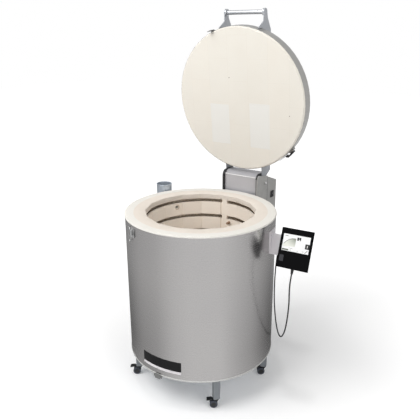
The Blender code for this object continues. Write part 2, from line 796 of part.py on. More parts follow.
def caster_swivel(spot, place):
    """A head that turns on the leg's pin, and a web that drops between the wheels to the axle."""
    head_bottom = CASTER_HEIGHT - HEAD_THICKNESS
    outline = (
        (-HEAD_RADIUS * WEB_BACK_SHARE, head_bottom + HEAD_THICKNESS / 2),
        (-HEAD_RADIUS * WEB_WAIST_SHARE, WHEEL_RADIUS * WAIST_RISE_SHARE),
        *circle((CASTER_TRAIL, WHEEL_RADIUS), AXLE_RADIUS * 2, 7, -TURN * 0.4, 0),
        (CASTER_TRAIL + AXLE_RADIUS * 2.4, head_bottom),
        (PEDAL_PIVOT + PEDAL_PIN * 2, head_bottom + PEDAL_PIN),
        (PEDAL_PIVOT + PEDAL_PIN * 2, CASTER_HEIGHT - PEDAL_PIN),
        (HEAD_RADIUS * WEB_FRONT_SHARE, CASTER_HEIGHT - PEDAL_PIN / 2),
    )
    body = piece(f"{place}_caster_body", prism(outline, "y", -WEB_HALF, WEB_HALF), LOOKS["black"], spot)
    head = rod("z", (0, 0), HEAD_RADIUS, head_bottom, CASTER_HEIGHT)
    combine(body, tool(f"{place}_caster_head", head, spot), "UNION")
    bore = rod("z", (0, 0), STEM_RADIUS + CLEAR, CASTER_HEIGHT - STEM_DEPTH - CLEAR, CASTER_HEIGHT + OVERRUN)
    combine(body, tool(f"{place}_stem_bore", bore, spot), "DIFFERENCE")
    axle = rod("y", (CASTER_TRAIL, WHEEL_RADIUS), AXLE_RADIUS + CLEAR, -OVERRUN, OVERRUN)
    combine(body, tool(f"{place}_axle_bore", axle, spot), "DIFFERENCE")
    pin = rod("y", (PEDAL_PIVOT, pedal_height()), PEDAL_PIN + CLEAR, -OVERRUN, OVERRUN, 8)
    combine(body, tool(f"{place}_pedal_bore", pin, spot), "DIFFERENCE")


def pedal_height():
    return CASTER_HEIGHT - HEAD_THICKNESS / 2


def wheel_pair(spot, place):
    """Two wheels on one axle, turned as one piece and standing on a flat of their tread."""
    radius = WHEEL_RADIUS / math.cos(TURN / WHEEL_SIDES / 2)
    half = [
        (0, WHEEL_OUTER - WHEEL_DISH),
        (WHEEL_HUB, WHEEL_OUTER - WHEEL_DISH),
        (WHEEL_HUB, WHEEL_OUTER),
        (radius - WHEEL_SHOULDER, WHEEL_OUTER),
        (radius, WHEEL_OUTER - WHEEL_SHOULDER),
        (radius, WHEEL_INNER + WHEEL_SHOULDER),
        (radius - WHEEL_SHOULDER, WHEEL_INNER),
        (AXLE_RADIUS, WHEEL_INNER),
    ]
    profile = half + [(r, -h) for r, h in reversed(half)]
    shape = aimed(turned(profile, WHEEL_SIDES, start=TURN / WHEEL_SIDES / 2), "y")
    piece(f"{place}_caster_wheels", shape, LOOKS["rubber"], spot, (CASTER_TRAIL, 0, WHEEL_RADIUS))


def brake_pedal(spot, place):
    """A foot pedal with two ears either side of the caster body, on a pin."""
    rise = HEAD_THICKNESS / 2 - PEDAL_PIN / 2
    near = PEDAL_PIN * 2 + CLEAR * 3
    tip = PEDAL_TIP - PEDAL_PIVOT
    outline = (
        (near, rise),
        (near, rise - PEDAL_THICKNESS),
        (tip - PEDAL_THICKNESS, -PEDAL_THICKNESS),
        (tip, -PEDAL_THICKNESS),
        (tip, 0),
        (tip - PEDAL_THICKNESS * 2, PEDAL_PIN),
        (near * 2, rise),
    )
    pivot = (PEDAL_PIVOT, 0, pedal_height())
    half = PEDAL_HALF
    pedal = piece(f"{place}_brake_pedal", prism(outline, "y", -half, half), LOOKS["black"], spot, pivot)
    inner = WEB_HALF + EAR_GAP
    for side, label in ((-1, "a"), (1, "b")):
        low, high = sorted((side * inner, side * (inner + EAR_THICKNESS)))
        ear = block(-PEDAL_PIN * 2, near + PEDAL_THICKNESS / 2, low, high, -PEDAL_PIN * 1.2, rise)
        combine(pedal, tool(f"{place}_pedal_ear_{label}", ear, spot, pivot), "UNION")
    reach = inner + EAR_THICKNESS / 2
    pin = rod("y", (0, 0), PEDAL_PIN, -reach, reach, 8)
    combine(pedal, tool(f"{place}_pedal_pin", pin, spot, pivot), "UNION")


def stand(kiln):
    for place, azimuth in leg_azimuths().items():
        leg(kiln, place, azimuth)
        spot = empty(f"{place}_swivel", kiln, round_at(azimuth, LEG_CIRCLE, 0), (0, 0, CASTER_HEADING))
        caster_swivel(spot, place)
        wheel_pair(spot, place)
        brake_pedal(spot, place)


def latch(kiln):
    """A plate on the casing with a lever between two ears, and a wire hook pinned in the lever."""
    side = empty("latch_side", kiln, turn=(0, 0, LATCH_AZIMUTH))
    back = -CASING_RADIUS - CLEAR
    face = back - LATCH_PLATE
    pivot_z = LATCH_BOTTOM + LATCH_PIVOT_RISE
    pivot_y = back - LATCH_PIVOT_OUT
    pivot = (0, pivot_y, pivot_z)
    shape = block(-LATCH_HALF, LATCH_HALF, face, back, LATCH_BOTTOM, LATCH_TOP)
    base = piece("latch_base", shape, LOOKS["zinc"], side)
    ear_in = LEVER_HALF + 2 * CLEAR
    for sign, label in ((-1, "left"), (1, "right")):
        low, high = sorted((sign * ear_in, sign * (ear_in + LATCH_EAR)))
        outline = (
            (face + LATCH_PLATE / 2, LATCH_BOTTOM),
            (face + LATCH_PLATE / 2, pivot_z + LATCH_PIVOT_RISE),
            *circle((pivot_y, pivot_z), LATCH_PIN * 2, 6, TURN * 0.3, TURN * 0.7),
        )
        combine(base, tool(f"latch_ear_{label}", prism(outline, "x", low, high), side), "UNION")
    reach = ear_in + LATCH_EAR / 2
    pin = rod("x", (pivot_y, pivot_z), LATCH_PIN, -reach, reach, 10)
    combine(base, tool("latch_pin", pin, side), "UNION")
    lever_bottom = -LATCH_PIN * 2
    outline = (
        (-LEVER_THICKNESS, lever_bottom),
        (LATCH_PIN * 1.6, lever_bottom),
        (LATCH_PIN * 1.6, LATCH_PIN * 2),
        (LEVER_THICKNESS / 2, LATCH_PIN * 3),
        (LEVER_THICKNESS / 2, LEVER_LENGTH),
        (-LEVER_THICKNESS * 1.5, LEVER_LENGTH + LEVER_THICKNESS),
        (-LEVER_THICKNESS * 1.5, LEVER_LENGTH),
        (-LEVER_THICKNESS, LEVER_LENGTH - LEVER_THICKNESS),
    )
    lever = piece("latch_lever", prism(outline, "x", -LEVER_HALF, LEVER_HALF), LOOKS["zinc"], side, pivot)
    bore = rod("x", (0, 0), LATCH_PIN + CLEAR, -LATCH_HALF, LATCH_HALF, 10)
    combine(lever, tool("lever_bore", bore, side, pivot), "DIFFERENCE")
    slot_half = HOOK_HALF + HOOK_WIRE * 2
    slot_low = HOOK_PIVOT_RISE - HOOK_WIRE * 2
    slot = block(-slot_half, slot_half, -LATCH_HALF, LATCH_HALF, slot_low, LEVER_LENGTH + OVERRUN)
    combine(lever, tool("lever_slot", slot, side, pivot), "DIFFERENCE")
    axle_reach = slot_half + HOOK_WIRE
    axle = rod("x", (-LEVER_THICKNESS / 4, HOOK_PIVOT_RISE), HOOK_PIN, -axle_reach, axle_reach, 8)
    combine(lever, tool("hook_axle", axle, side, pivot), "UNION")
    hook(side, pivot)


def hook(side, pivot):
    """A flat hook on the lever's cross pin, with its mouth turned inward at the top."""
    centre = (0, 0)
    eye = HOOK_PIN + HOOK_WIRE
    neck = eye * HOOK_NECK_SHARE
    outline = (
        *circle(centre, eye, 7, TURN / 2, TURN),
        (eye, HOOK_LENGTH - HOOK_WIRE * 5),
        (neck, HOOK_LENGTH - HOOK_WIRE * 4),
        (neck, HOOK_LENGTH - HOOK_WIRE * 1.6),
        (eye, HOOK_LENGTH - HOOK_WIRE * 1.6),
        (eye, HOOK_LENGTH - HOOK_WIRE * 0.4),
        (0, HOOK_LENGTH),
        (-eye, HOOK_LENGTH - HOOK_WIRE * 1.5),
    )
    place = (0, pivot[1] - LEVER_THICKNESS / 4, pivot[2] + HOOK_PIVOT_RISE)
    obj = piece("latch_hook", prism(outline, "x", -HOOK_HALF, HOOK_HALF), LOOKS["zinc"], side, place)
    bore = rod("x", centre, HOOK_PIN + CLEAR, -LATCH_HALF, LATCH_HALF, 8)
    combine(obj, tool("hook_bore", bore, side, place), "DIFFERENCE")


def hinge_frame(kiln, outside):
    """Two cheeks, a web between the arms and two shelves that follow the round casing."""
    right = (
        (CHEEK_FRONT, CHEEK_BOTTOM),
        (CHEEK_FRONT, CHEEK_TOP - CHEEK_NOSE * 2),
        (CHEEK_FRONT + CHEEK_NOSE / 3, CHEEK_TOP - CHEEK_NOSE * 2 / 3),
        (CHEEK_FRONT + CHEEK_NOSE, CHEEK_TOP),
        (FRAME_BACK, CHEEK_TOP_BACK),
        (FRAME_BACK, CHEEK_BOTTOM),
    )
    inner = CHEEK_OUTER - CHEEK_THICKNESS
    frame = piece("hinge_frame", prism(right, "x", inner, CHEEK_OUTER), LOOKS["steel"], kiln)
    left = (
        (LEFT_CHEEK_FRONT, CHEEK_BOTTOM),
        (LEFT_CHEEK_FRONT, CHEEK_TOP_BACK),
        (LEFT_CHEEK_FRONT + CHEEK_NOSE, CHEEK_TOP_BACK + CHEEK_NOSE / 2),
        (FRAME_BACK, CHEEK_TOP_BACK),
        (FRAME_BACK, CHEEK_BOTTOM),
    )
    web_front = FRAME_BACK - CHEEK_THICKNESS
    overlap = inner + CHEEK_THICKNESS / 2
    parts = {
        "left_cheek": prism(left, "x", -CHEEK_OUTER, -inner),
        "frame_web": block(-WEB_SPREAD, WEB_SPREAD, web_front, FRAME_BACK, CHEEK_BOTTOM, WEB_TOP),
    }
    for name, level in (("lower_shelf", CHEEK_BOTTOM), ("upper_shelf", UPPER_SHELF)):
        top = level + SHELF_THICKNESS
        parts[name] = block(-overlap, overlap, CHEEK_FRONT - OVERRUN * 2, web_front + CLEAR, level, top)
    for name, shape in parts.items():
        combine(frame, tool(name, shape, kiln), "UNION")
    combine(frame, outside, "DIFFERENCE")
    reach = CHEEK_OUTER + OVERRUN
    hole = rod("x", (HINGE_BACK, HINGE_HEIGHT), SHAFT_NECK + CLEAR, -reach, reach)
    combine(frame, tool("frame_bore", hole, kiln), "DIFFERENCE")


def hinge_shaft(kiln):
    """One shaft through caps, cover and arms, necked in the cheeks, with a bolt head outside each."""
    inner = CHEEK_OUTER - CHEEK_THICKNESS - CLEAR
    head = CHEEK_OUTER + CLEAR
    half = (
        (0, head + BOLT_HEAD_LENGTH),
        (BOLT_CROWN, head + BOLT_HEAD_LENGTH),
        (BOLT_HEAD, head + BOLT_HEAD_LENGTH - BOLT_DOME),
        (BOLT_HEAD, head),
        (SHAFT_NECK, head),
        (SHAFT_NECK, inner),
        (SHAFT_RADIUS, inner),
    )
    profile = list(half) + [(r, -h) for r, h in reversed(half)]
    shape = aimed(turned(profile, SMALL_SIDES), "x", (0, HINGE_BACK, HINGE_HEIGHT))
    piece("hinge_shaft", shape, LOOKS["zinc"], kiln)


def lid_spring(kiln):
    """The closed-in torsion spring that takes the lid's weight, drawn as its outer sleeve."""
    profile = band_profile(SHAFT_RADIUS + CLEAR, SPRING_RADIUS, -SPRING_HALF, SPRING_HALF)
    shape = aimed(turned(profile, SMALL_SIDES), "x", (0, HINGE_BACK, HINGE_HEIGHT))
    piece("lid_spring", shape, LOOKS["zinc"], kiln)


def spring_cover(kiln):
    """A folded sheet, open below, with a bevelled front edge, and two moulded caps that close its ends."""
    def fold(inset):
        front = COVER_FRONT + inset
        back = COVER_BACK - inset
        crease = COVER_CREASE - inset / 2
        return [
            (front, COVER_BOTTOM),
            (front, crease),
            (COVER_FRONT + COVER_BEVEL + inset / 3, COVER_TOP - inset),
            (back, COVER_TOP - inset),
            (back, COVER_BOTTOM),
        ]
    outline = fold(0) + fold(COVER_WALL)[::-1]
    piece("spring_cover", prism(outline, "x", -COVER_HALF, COVER_HALF), LOOKS["light_steel"], kiln)
    centre = (CAP_FRONT + CAP_ROUND, CAP_TOP - CAP_ROUND)
    outline = [
        (COVER_BACK + COVER_WALL, COVER_BOTTOM),
        (CAP_FRONT, COVER_BOTTOM),
        *reversed(circle(centre, CAP_ROUND, 6, TURN / 4, TURN / 2)),
        (COVER_BACK, CAP_TOP),
        (COVER_BACK + COVER_WALL, CAP_TOP - COVER_WALL),
    ]
    inner = COVER_HALF + CLEAR
    for name, low, high in (("left_spring_cap", -CAP_OUTER, -inner), ("right_spring_cap", inner, CAP_OUTER)):
        cap = piece(name, prism(outline, "x", low, high), LOOKS["black"], kiln)
        hole = rod("x", (HINGE_BACK, HINGE_HEIGHT), SHAFT_RADIUS + CLEAR, low - OVERRUN, high + OVERRUN)
        combine(cap, tool(f"{name}_bore", hole, kiln), "DIFFERENCE")


def switch_box(kiln):
    """A sheet box, open at the back, with its own back cover."""
    back = BOX_BACK - BOX_WALL - CLEAR
    slope = (BOX_TOP_BACK - BOX_TOP_FRONT) / (BOX_BACK - BOX_FRONT)
    top_back = BOX_TOP_FRONT + slope * (back - BOX_FRONT)
    outline = ((BOX_FRONT, BOX_BOTTOM), (BOX_FRONT, BOX_TOP_FRONT), (back, top_back), (back, BOX_BOTTOM))
    body = piece("switch_box", prism(outline, "x", -BOX_HALF, BOX_HALF), LOOKS["steel"], kiln)
    inside = (
        (BOX_FRONT + BOX_WALL, BOX_BOTTOM + BOX_WALL),
        (BOX_FRONT + BOX_WALL, BOX_TOP_FRONT - BOX_WALL - CLEAR),
        (back + OVERRUN, top_back + slope * OVERRUN - BOX_WALL),
        (back + OVERRUN, BOX_BOTTOM + BOX_WALL),
    )
    wall = BOX_HALF - BOX_WALL
    combine(body, tool("box_room", prism(inside, "x", -wall, wall), kiln), "DIFFERENCE")
    outline = (
        (back + CLEAR, BOX_BOTTOM),
        (back + CLEAR, top_back + slope * CLEAR),
        (BOX_BACK, BOX_TOP_BACK),
        (BOX_BACK, BOX_BOTTOM),
    )
    piece("switch_box_cover", prism(outline, "x", -BOX_HALF, BOX_HALF), LOOKS["steel"], kiln)


def mains_switch(kiln):
    """A square frame on the box's side with a rocker in its pocket, pressed in at the bottom."""
    low = BOX_HALF + CLEAR
    high = low + SWITCH_DEPTH
    spot = empty("switch_spot", kiln, (0, SWITCH_Y, SWITCH_Z))
    shape = block(low, high, -SWITCH_HALF_Y, SWITCH_HALF_Y, -SWITCH_HALF_Z, SWITCH_HALF_Z)
    frame = piece("switch_frame", shape, LOOKS["black"], spot)
    wide = ROCKER_HALF_Y + 2 * CLEAR
    tall = ROCKER_HALF_Z + 2 * CLEAR
    pocket = block(high - SWITCH_POCKET, high + OVERRUN, -wide, wide, -tall, tall)
    combine(frame, tool("rocker_pocket", pocket, spot), "DIFFERENCE")
    pivot_x = high - SWITCH_POCKET / 2
    end = ROCKER_HALF_Z - CLEAR
    outline = (
        (-ROCKER_KEEL, 0),
        (ROCKER_UNDER, -end),
        (ROCKER_RISE, -end),
        (ROCKER_DIP, 0),
        (ROCKER_RISE, end),
        (ROCKER_UNDER, end),
    )
    shape = prism(outline, "y", -ROCKER_HALF_Y, ROCKER_HALF_Y)
    rocker = piece("switch_rocker", shape, LOOKS["light_grey"], spot, (pivot_x, 0, 0))
    rocker.rotation_euler = (0, ROCKER_TILT, 0)


def box_gland(kiln):
    """A cable gland: a nut on the box and a tapered nose toward the cable."""
    profile = (
        (0, 0),
        (GLAND_NUT, 0),
        (GLAND_NUT, GLAND_NUT_LENGTH),
        (GLAND_SHOULDER, GLAND_NUT_LENGTH),
        (GLAND_TIP, GLAND_LENGTH),
        (0, GLAND_LENGTH),
    )
    place = (BOX_HALF + CLEAR, GLAND_Y, GLAND_Z)
    piece("box_gland", aimed(turned(profile, SMALL_SIDES), "x", place), LOOKS["black"], kiln)


def lid_piece(name, shape, look, carrier):
    """A lid piece drawn closed in the kiln's own places, with its origin on the hinge."""
    shape.transform(Matrix.Translation((0, -HINGE_BACK, -HINGE_HEIGHT)))
    return piece(name, shape, look, carrier)


def lid_tool(name, shape, carrier):
    shape.transform(Matrix.Translation((0, -HINGE_BACK, -HINGE_HEIGHT)))
    return tool(name, shape, carrier)


def lid_slab(hinge):
    profile = (
        (0, LID_FACE),
        (LID_RADIUS - LID_CHAMFER, LID_FACE),
        (LID_RADIUS, LID_FACE + LID_CHAMFER),
        (LID_RADIUS, LID_TOP),
        (0, LID_TOP),
    )
    lid_piece("lid_slab", turned(profile, BIG_SIDES), LOOKS["brick"], hinge)


def lid_band(hinge):
    """A thin band round the slab, drawn tight by two clamps."""
    profile = band_profile(LID_RADIUS + CLEAR, BAND_OUTER, BAND_FROM, LID_TOP)
    band = lid_piece("lid_band", turned(profile, BIG_SIDES), LOOKS["steel"], hinge)
    middle = (BAND_FROM + LID_TOP) / 2
    for name, azimuth in (("right_clamp", CLAMP_RIGHT_AZIMUTH), ("left_clamp", CLAMP_LEFT_AZIMUTH)):
        shape = block(-CLAMP_HALF, CLAMP_HALF, -BAND_OUTER - CLAMP_OUT, -LID_RADIUS - 2 * CLEAR,
                      middle - CLAMP_HEIGHT / 2, middle + CLAMP_HEIGHT / 2)
        shape.transform(Matrix.Rotation(azimuth, 4, "Z"))
        combine(band, lid_tool(name, shape, hinge), "UNION")


def arm_outline():
    """The arm's side view closed, from the handle over the lid to the hinge eye, as (y, z)."""
    lid_side = -ARM_FRONT + ARM_THICKNESS
    over = LID_TOP + CLEAR
    behind = BAND_OUTER - ARM_THICKNESS * 3.5
    grip = (-BAR_Y, BAR_Z)
    return [
        (lid_side, over),
        (lid_side, ARM_FOOT),
        (-ARM_FRONT, ARM_FOOT),
        (-ARM_KINK_Y, ARM_KINK_Z - ARM_EYE / 3),
        *reversed(circle(grip, NECK_HALF, 9, NECK_FROM, NECK_TO)),
        (-BAR_Y + NECK_RUN, BAR_Z + ARM_EYE),
        (-ARM_SHOULDER_Y, ARM_SHOULDER_Z),
        (ARM_BACK_Y, ARM_BACK_Z),
        (ARM_HEEL_Y, ARM_HEEL_Z),
        *reversed(circle((HINGE_BACK, HINGE_HEIGHT), ARM_EYE, 7, -TURN / 4, EYE_TO)),
        (HINGE_BACK - ARM_EYE, ARM_TAIL_BOTTOM),
        (behind, ARM_TAIL_BOTTOM),
        (behind, over),
    ]


def lid_arms(hinge):
    for name, side in (("left_lid_arm", -1), ("right_lid_arm", 1)):
        low, high = sorted((side * ARM_INNER, side * (ARM_INNER + ARM_THICKNESS)))
        arm = lid_piece(name, prism(arm_outline(), "x", low, high), LOOKS["blue_grey"], hinge)
        eye = rod("x", (HINGE_BACK, HINGE_HEIGHT), SHAFT_RADIUS + CLEAR, low - OVERRUN, high + OVERRUN)
        combine(arm, lid_tool(f"{name}_bore", eye, hinge), "DIFFERENCE")


def handle_bar(hinge):
    end = ARM_INNER - CLEAR
    half = (
        (0, end),
        (BAR_COLLAR, end),
        (BAR_COLLAR, end - BAR_COLLAR_LENGTH),
        (BAR_RADIUS, end - BAR_COLLAR_LENGTH),
    )
    profile = list(half) + [(r, -h) for r, h in reversed(half)]
    lid_piece("handle_bar", aimed(turned(profile, PIPE_SIDES), "x", (0, -BAR_Y, BAR_Z)), LOOKS["zinc"], hinge)


def lid_keeper(hinge):
    """A bent strap on the band that comes down past the collar to the latch when the lid is shut."""
    out = -BAND_OUTER - CLEAR
    face = out - KEEPER_OUT
    outline = (
        (out, KEEPER_TOP),
        (out, KEEPER_BLOCK),
        (face, KEEPER_BLOCK - KEEPER_OUT),
        (face, KEEPER_BOTTOM),
        (face - KEEPER_THICKNESS, KEEPER_BOTTOM),
        (face - KEEPER_THICKNESS, KEEPER_BLOCK),
        (out - KEEPER_THICKNESS, KEEPER_BLOCK + KEEPER_OUT),
        (out - KEEPER_THICKNESS, KEEPER_TOP),
    )
    shape = prism(outline, "x", -KEEPER_HALF, KEEPER_HALF)
    shape.transform(Matrix.Rotation(KEEPER_AZIMUTH, 4, "Z"))
    lid_piece("lid_keeper", shape, LOOKS["steel"], hinge)


def lid(kiln):
    place = (0, HINGE_BACK, HINGE_HEIGHT)
    hinge = empty("lid_hinge", kiln, place, (-LID_OPEN, 0, 0))
    lid_slab(hinge)
    lid_band(hinge)
    lid_arms(hinge)
    handle_bar(hinge)
    lid_keeper(hinge)


def controller(kiln, outside):
    """A flat glass-fronted box with a screen, a port flap and a cable relief, on a tilted plate."""
    spot = empty("panel_spot", kiln, (PANEL_X, PANEL_Y, PANEL_Z), (-PANEL_TILT, 0, PANEL_TURN))
    half = PANEL_WIDTH / 2
    tall = PANEL_HEIGHT / 2
    shell = piece("controller_shell", block(-half, half, 0, PANEL_THICKNESS, -tall, tall), LOOKS["panel"], spot)
    bevel(shell, PANEL_EDGE, 2)
    wide = half - SHELL_INSET
    bottom = -tall + SHELL_INSET_BOTTOM
    room = block(-wide, wide, PANEL_THICKNESS / 2, SHELL_DEPTH, bottom, tall - SHELL_INSET)
    rear = tool("shell_back", room, spot)
    bevel(rear, SHELL_EDGE, 2)
    combine(shell, rear, "UNION")
    screen_pocket(shell, spot)
    port_flap(shell, spot)
    cable_relief(spot, bottom)
    bracket(kiln, spot, outside)


def screen_pocket(shell, spot):
    low_x = SCREEN_X - SCREEN_WIDTH / 2
    high_x = SCREEN_X + SCREEN_WIDTH / 2
    low_z = SCREEN_Z - SCREEN_HEIGHT / 2
    high_z = SCREEN_Z + SCREEN_HEIGHT / 2
    pocket = block(low_x, high_x, -OVERRUN, SCREEN_THICKNESS + CLEAR, low_z, high_z)
    combine(shell, tool("screen_pocket", pocket, spot), "DIFFERENCE")
    glass = block(low_x + CLEAR, high_x - CLEAR, 0, SCREEN_THICKNESS, low_z + CLEAR, high_z - CLEAR)
    piece("controller_screen", glass, LOOKS["screen"], spot)


def port_flap(shell, spot):
    """A small flap over the data port, hinged along its left edge at the panel's face."""
    left = PORT_X - PORT_WIDTH / 2
    low = PORT_Z - PORT_HEIGHT / 2
    high = PORT_Z + PORT_HEIGHT / 2
    pocket = block(left - PORT_GAP, left + PORT_WIDTH + PORT_GAP, -OVERRUN, PORT_THICKNESS + PORT_GAP,
                   low - PORT_GAP, high + PORT_GAP)
    combine(shell, tool("port_pocket", pocket, spot), "DIFFERENCE")
    flap = block(0, PORT_WIDTH, 0, PORT_THICKNESS, low, high)
    piece("port_flap", flap, LOOKS["black"], spot, (left, 0, 0))


def cable_relief(spot, bottom):
    """A tapered sleeve that leaves the shell's lower face where the cable starts."""
    profile = (
        (0, 0),
        (RELIEF_WIDE, 0),
        (RELIEF_WIDE, -RELIEF_LENGTH / 5),
        (RELIEF_TIP, -RELIEF_LENGTH),
        (0, -RELIEF_LENGTH),
    )
    shape = aimed(turned(profile, SMALL_SIDES), "z", (0, RELIEF_Y, bottom - CLEAR))
    piece("controller_relief", shape, LOOKS["black"], spot)


def bracket(kiln, spot, outside):
    """The plate that carries the controller, with a foot bent along the casing."""
    near = SHELL_DEPTH + CLEAR
    shape = block(-BRACKET_LEFT, BRACKET_REACH, near, near + BRACKET_THICKNESS, BRACKET_LOW, BRACKET_HIGH)
    plate = piece("controller_bracket", shape, LOOKS["light_steel"], spot)
    side = empty("foot_side", kiln, turn=(0, 0, FOOT_AZIMUTH))
    foot = block(-FOOT_HALF, FOOT_HALF, -CASING_RADIUS - FOOT_THICKNESS, -CASING_INNER, FOOT_LOW, FOOT_HIGH)
    combine(plate, tool("bracket_foot", foot, side), "UNION")
    combine(plate, outside, "DIFFERENCE")


def controller_cable(kiln):
    """The cable from the tip of the relief down in one long sag and up to the gland."""
    turn = Matrix.Rotation(PANEL_TURN, 4, "Z") @ Matrix.Rotation(-PANEL_TILT, 4, "X")
    bottom = -PANEL_HEIGHT / 2 + SHELL_INSET_BOTTOM - CLEAR
    start = turn @ Vector((0, RELIEF_Y, bottom - RELIEF_LENGTH - CLEAR))
    start += Vector((PANEL_X, PANEL_Y, PANEL_Z))
    end = Vector((BOX_HALF + GLAND_LENGTH + 2 * CLEAR, GLAND_Y, GLAND_Z))
    points = smooth_route((start, *CABLE_ROUTE, end), CABLE_POINTS)
    wire("controller_cable", points, CABLE_RADIUS, LOOKS["rubber"], kiln, 2)


def make_kiln():
    clear_scene()
    LOOKS.update(
        steel=material("brushed_steel", (0.55, 0.55, 0.54), 0.35, 1.0),
        light_steel=material("light_steel", (0.68, 0.68, 0.69), 0.4, 0.6),
        grey=material("grey_steel", (0.42, 0.45, 0.50), 0.45, 0.7),
        blue_grey=material("blue_grey_paint", (0.40, 0.42, 0.44), 0.5, 0.4),
        zinc=material("zinc_plate", (0.62, 0.62, 0.62), 0.3, 1.0),
        fibre=material("white_fibre", (0.86, 0.85, 0.81), 0.9, 0.0),
        brick=material("light_brick", (0.84, 0.78, 0.71), 0.95, 0.0),
        wool=material("wool", (0.85, 0.84, 0.80), 1.0, 0.0),
        element=material("element_wire", (0.20, 0.15, 0.11), 0.6, 0.6),
        ceramic=material("ceramic", (0.62, 0.55, 0.47), 0.8, 0.0),
        black=material("black_plastic", (0.02, 0.02, 0.02), 0.5, 0.0),
        rubber=material("dark_rubber", (0.05, 0.05, 0.06), 0.6, 0.0),
        panel=material("black_panel", (0.01, 0.01, 0.01), 0.2, 0.0),
        screen=material("screen_glass", (0.75, 0.76, 0.74), 0.15, 0.0),
        light_grey=material("light_grey_plastic", (0.6, 0.6, 0.6), 0.5, 0.0),
        guide=material("guide", (0.5, 0.5, 0.5), 0.5, 0.0),
    )
    kiln = empty("kiln_axis", place=(-FOOTPRINT_X, -FOOTPRINT_Y, 0))
    reach = CASING_RADIUS + CLEAR
    room = turned(((0, 0), (reach, 0), (reach, CASING_TOP), (0, CASING_TOP)), BIG_SIDES)
    outside = tool("casing_outside", room, kiln)
    skin = casing(kiln)
    rim_collar(kiln)
    bricks = wall_bricks(kiln)
    floor_layers(kiln)
    wool = wall_insulation(kiln)
    heating_elements(kiln)
    walls = (skin, bricks, wool)
    thermocouple(kiln, walls)
    vent(kiln, walls, outside)
    base_pan(kiln)
    air_slide(kiln)
    stand(kiln)
    latch(kiln)
    hinge_frame(kiln, outside)
    hinge_shaft(kiln)
    lid_spring(kiln)
    spring_cover(kiln)
    switch_box(kiln)
    mains_switch(kiln)
    box_gland(kiln)
    lid(kiln)
    controller(kiln, outside)
    controller_cable(kiln)


LOOKS = {}
make_kiln()
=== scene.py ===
# %% [markdown]
# This lesson dresses a top-loading kiln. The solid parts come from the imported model, and nothing in it is
# moved or reshaped. Here we light them, give every part a finish, and add the small forms that a plain
# solid leaves out.

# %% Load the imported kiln
import math

import bmesh
import bpy
from mathutils import Matrix, Vector


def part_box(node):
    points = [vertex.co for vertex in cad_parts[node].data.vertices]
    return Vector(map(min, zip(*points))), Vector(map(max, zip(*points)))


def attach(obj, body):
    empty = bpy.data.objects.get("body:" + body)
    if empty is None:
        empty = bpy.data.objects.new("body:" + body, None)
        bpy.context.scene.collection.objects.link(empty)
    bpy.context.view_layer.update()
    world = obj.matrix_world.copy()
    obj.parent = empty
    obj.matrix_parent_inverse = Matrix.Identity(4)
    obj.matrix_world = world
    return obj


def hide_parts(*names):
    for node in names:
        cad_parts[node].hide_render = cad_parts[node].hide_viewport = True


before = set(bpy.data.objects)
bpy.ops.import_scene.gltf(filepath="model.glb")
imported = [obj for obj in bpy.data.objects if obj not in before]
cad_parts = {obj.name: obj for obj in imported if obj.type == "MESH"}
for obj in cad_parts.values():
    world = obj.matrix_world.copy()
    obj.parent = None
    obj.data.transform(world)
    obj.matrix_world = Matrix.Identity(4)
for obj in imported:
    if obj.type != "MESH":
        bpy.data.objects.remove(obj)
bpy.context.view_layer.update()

# %% [markdown]
# The kiln is round, so its pieces are easiest to place from its own upright axis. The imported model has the
# middle of its footprint at the origin instead. One shift takes us from one to the other, and one turn
# carries a lid piece, drawn with the lid shut, up to where the lid stands open.

# %% The kiln's axis and the lid's turn
TURN = 2 * math.pi
AXIS = Vector((-0.0811836, -0.106, 0.0))
HINGE = Vector((0.0, 0.455, 0.965))
LID_OPEN = math.radians(83.5)
ON_KILN = Matrix.Translation(AXIS)
ON_LID = ON_KILN @ Matrix.Translation(HINGE) @ Matrix.Rotation(-LID_OPEN, 4, "X") @ Matrix.Translation(-HINGE)
print("the lid's handle side stands at", [round(v, 3) for v in ON_LID @ Vector((0, -0.374, 0.978))])

# %% [markdown]
# In Blender an object shows only once it is linked to the scene. A helper makes an object and links it in
# one step.

# %% Add an object to the scene
def add_object(name, data):
    """A new object of this mesh, curve, lamp or camera, linked to the scene."""
    made = bpy.data.objects.new(name, data)
    bpy.context.scene.collection.objects.link(made)
    return made


print("objects can be added")

# %% [markdown]
# The photograph was taken from the kiln's front right, a little above the rim. A camera is a place, a turn
# and a lens. These three were found from the rim's oval, the upright sides and the panel's corners.

# %% Camera
lens = bpy.data.cameras.new("photo_lens")
lens.lens = 44.97
lens.sensor_width = 36
camera = add_object("photo_camera", lens)
camera.location = (1.3247, -2.1516, 1.7489)
camera.rotation_euler = (math.radians(71.36), 0, math.radians(33.43))
bpy.context.scene.camera = camera
bpy.context.scene.view_settings.view_transform = "Standard"
print("camera stands", round(camera.location.length, 2), "m from the middle of the footprint")

# %% [markdown]
# Colours are easier to judge on the scale from 0 to 255 that a picture viewer shows, while the renderer
# wants linear light. This small helper turns the one into the other.

# %% Colours as a viewer shows them
def shade(red, green, blue):
    """A linear colour from the 0 to 255 scale of a picture viewer."""
    def linear(value):
        value /= 255
        return value / 12.92 if value <= 0.04045 else ((value + 0.055) / 1.055) ** 2.4
    return (linear(red), linear(green), linear(blue), 1.0)


print("mid grey is", round(shade(128, 128, 128)[0], 3), "in linear light")

# %% [markdown]
# A finish is a small net of nodes. Adding a node and joining its sockets takes several lines each time, so
# one helper does it. A value given for a socket is either a plain value or another node's output.

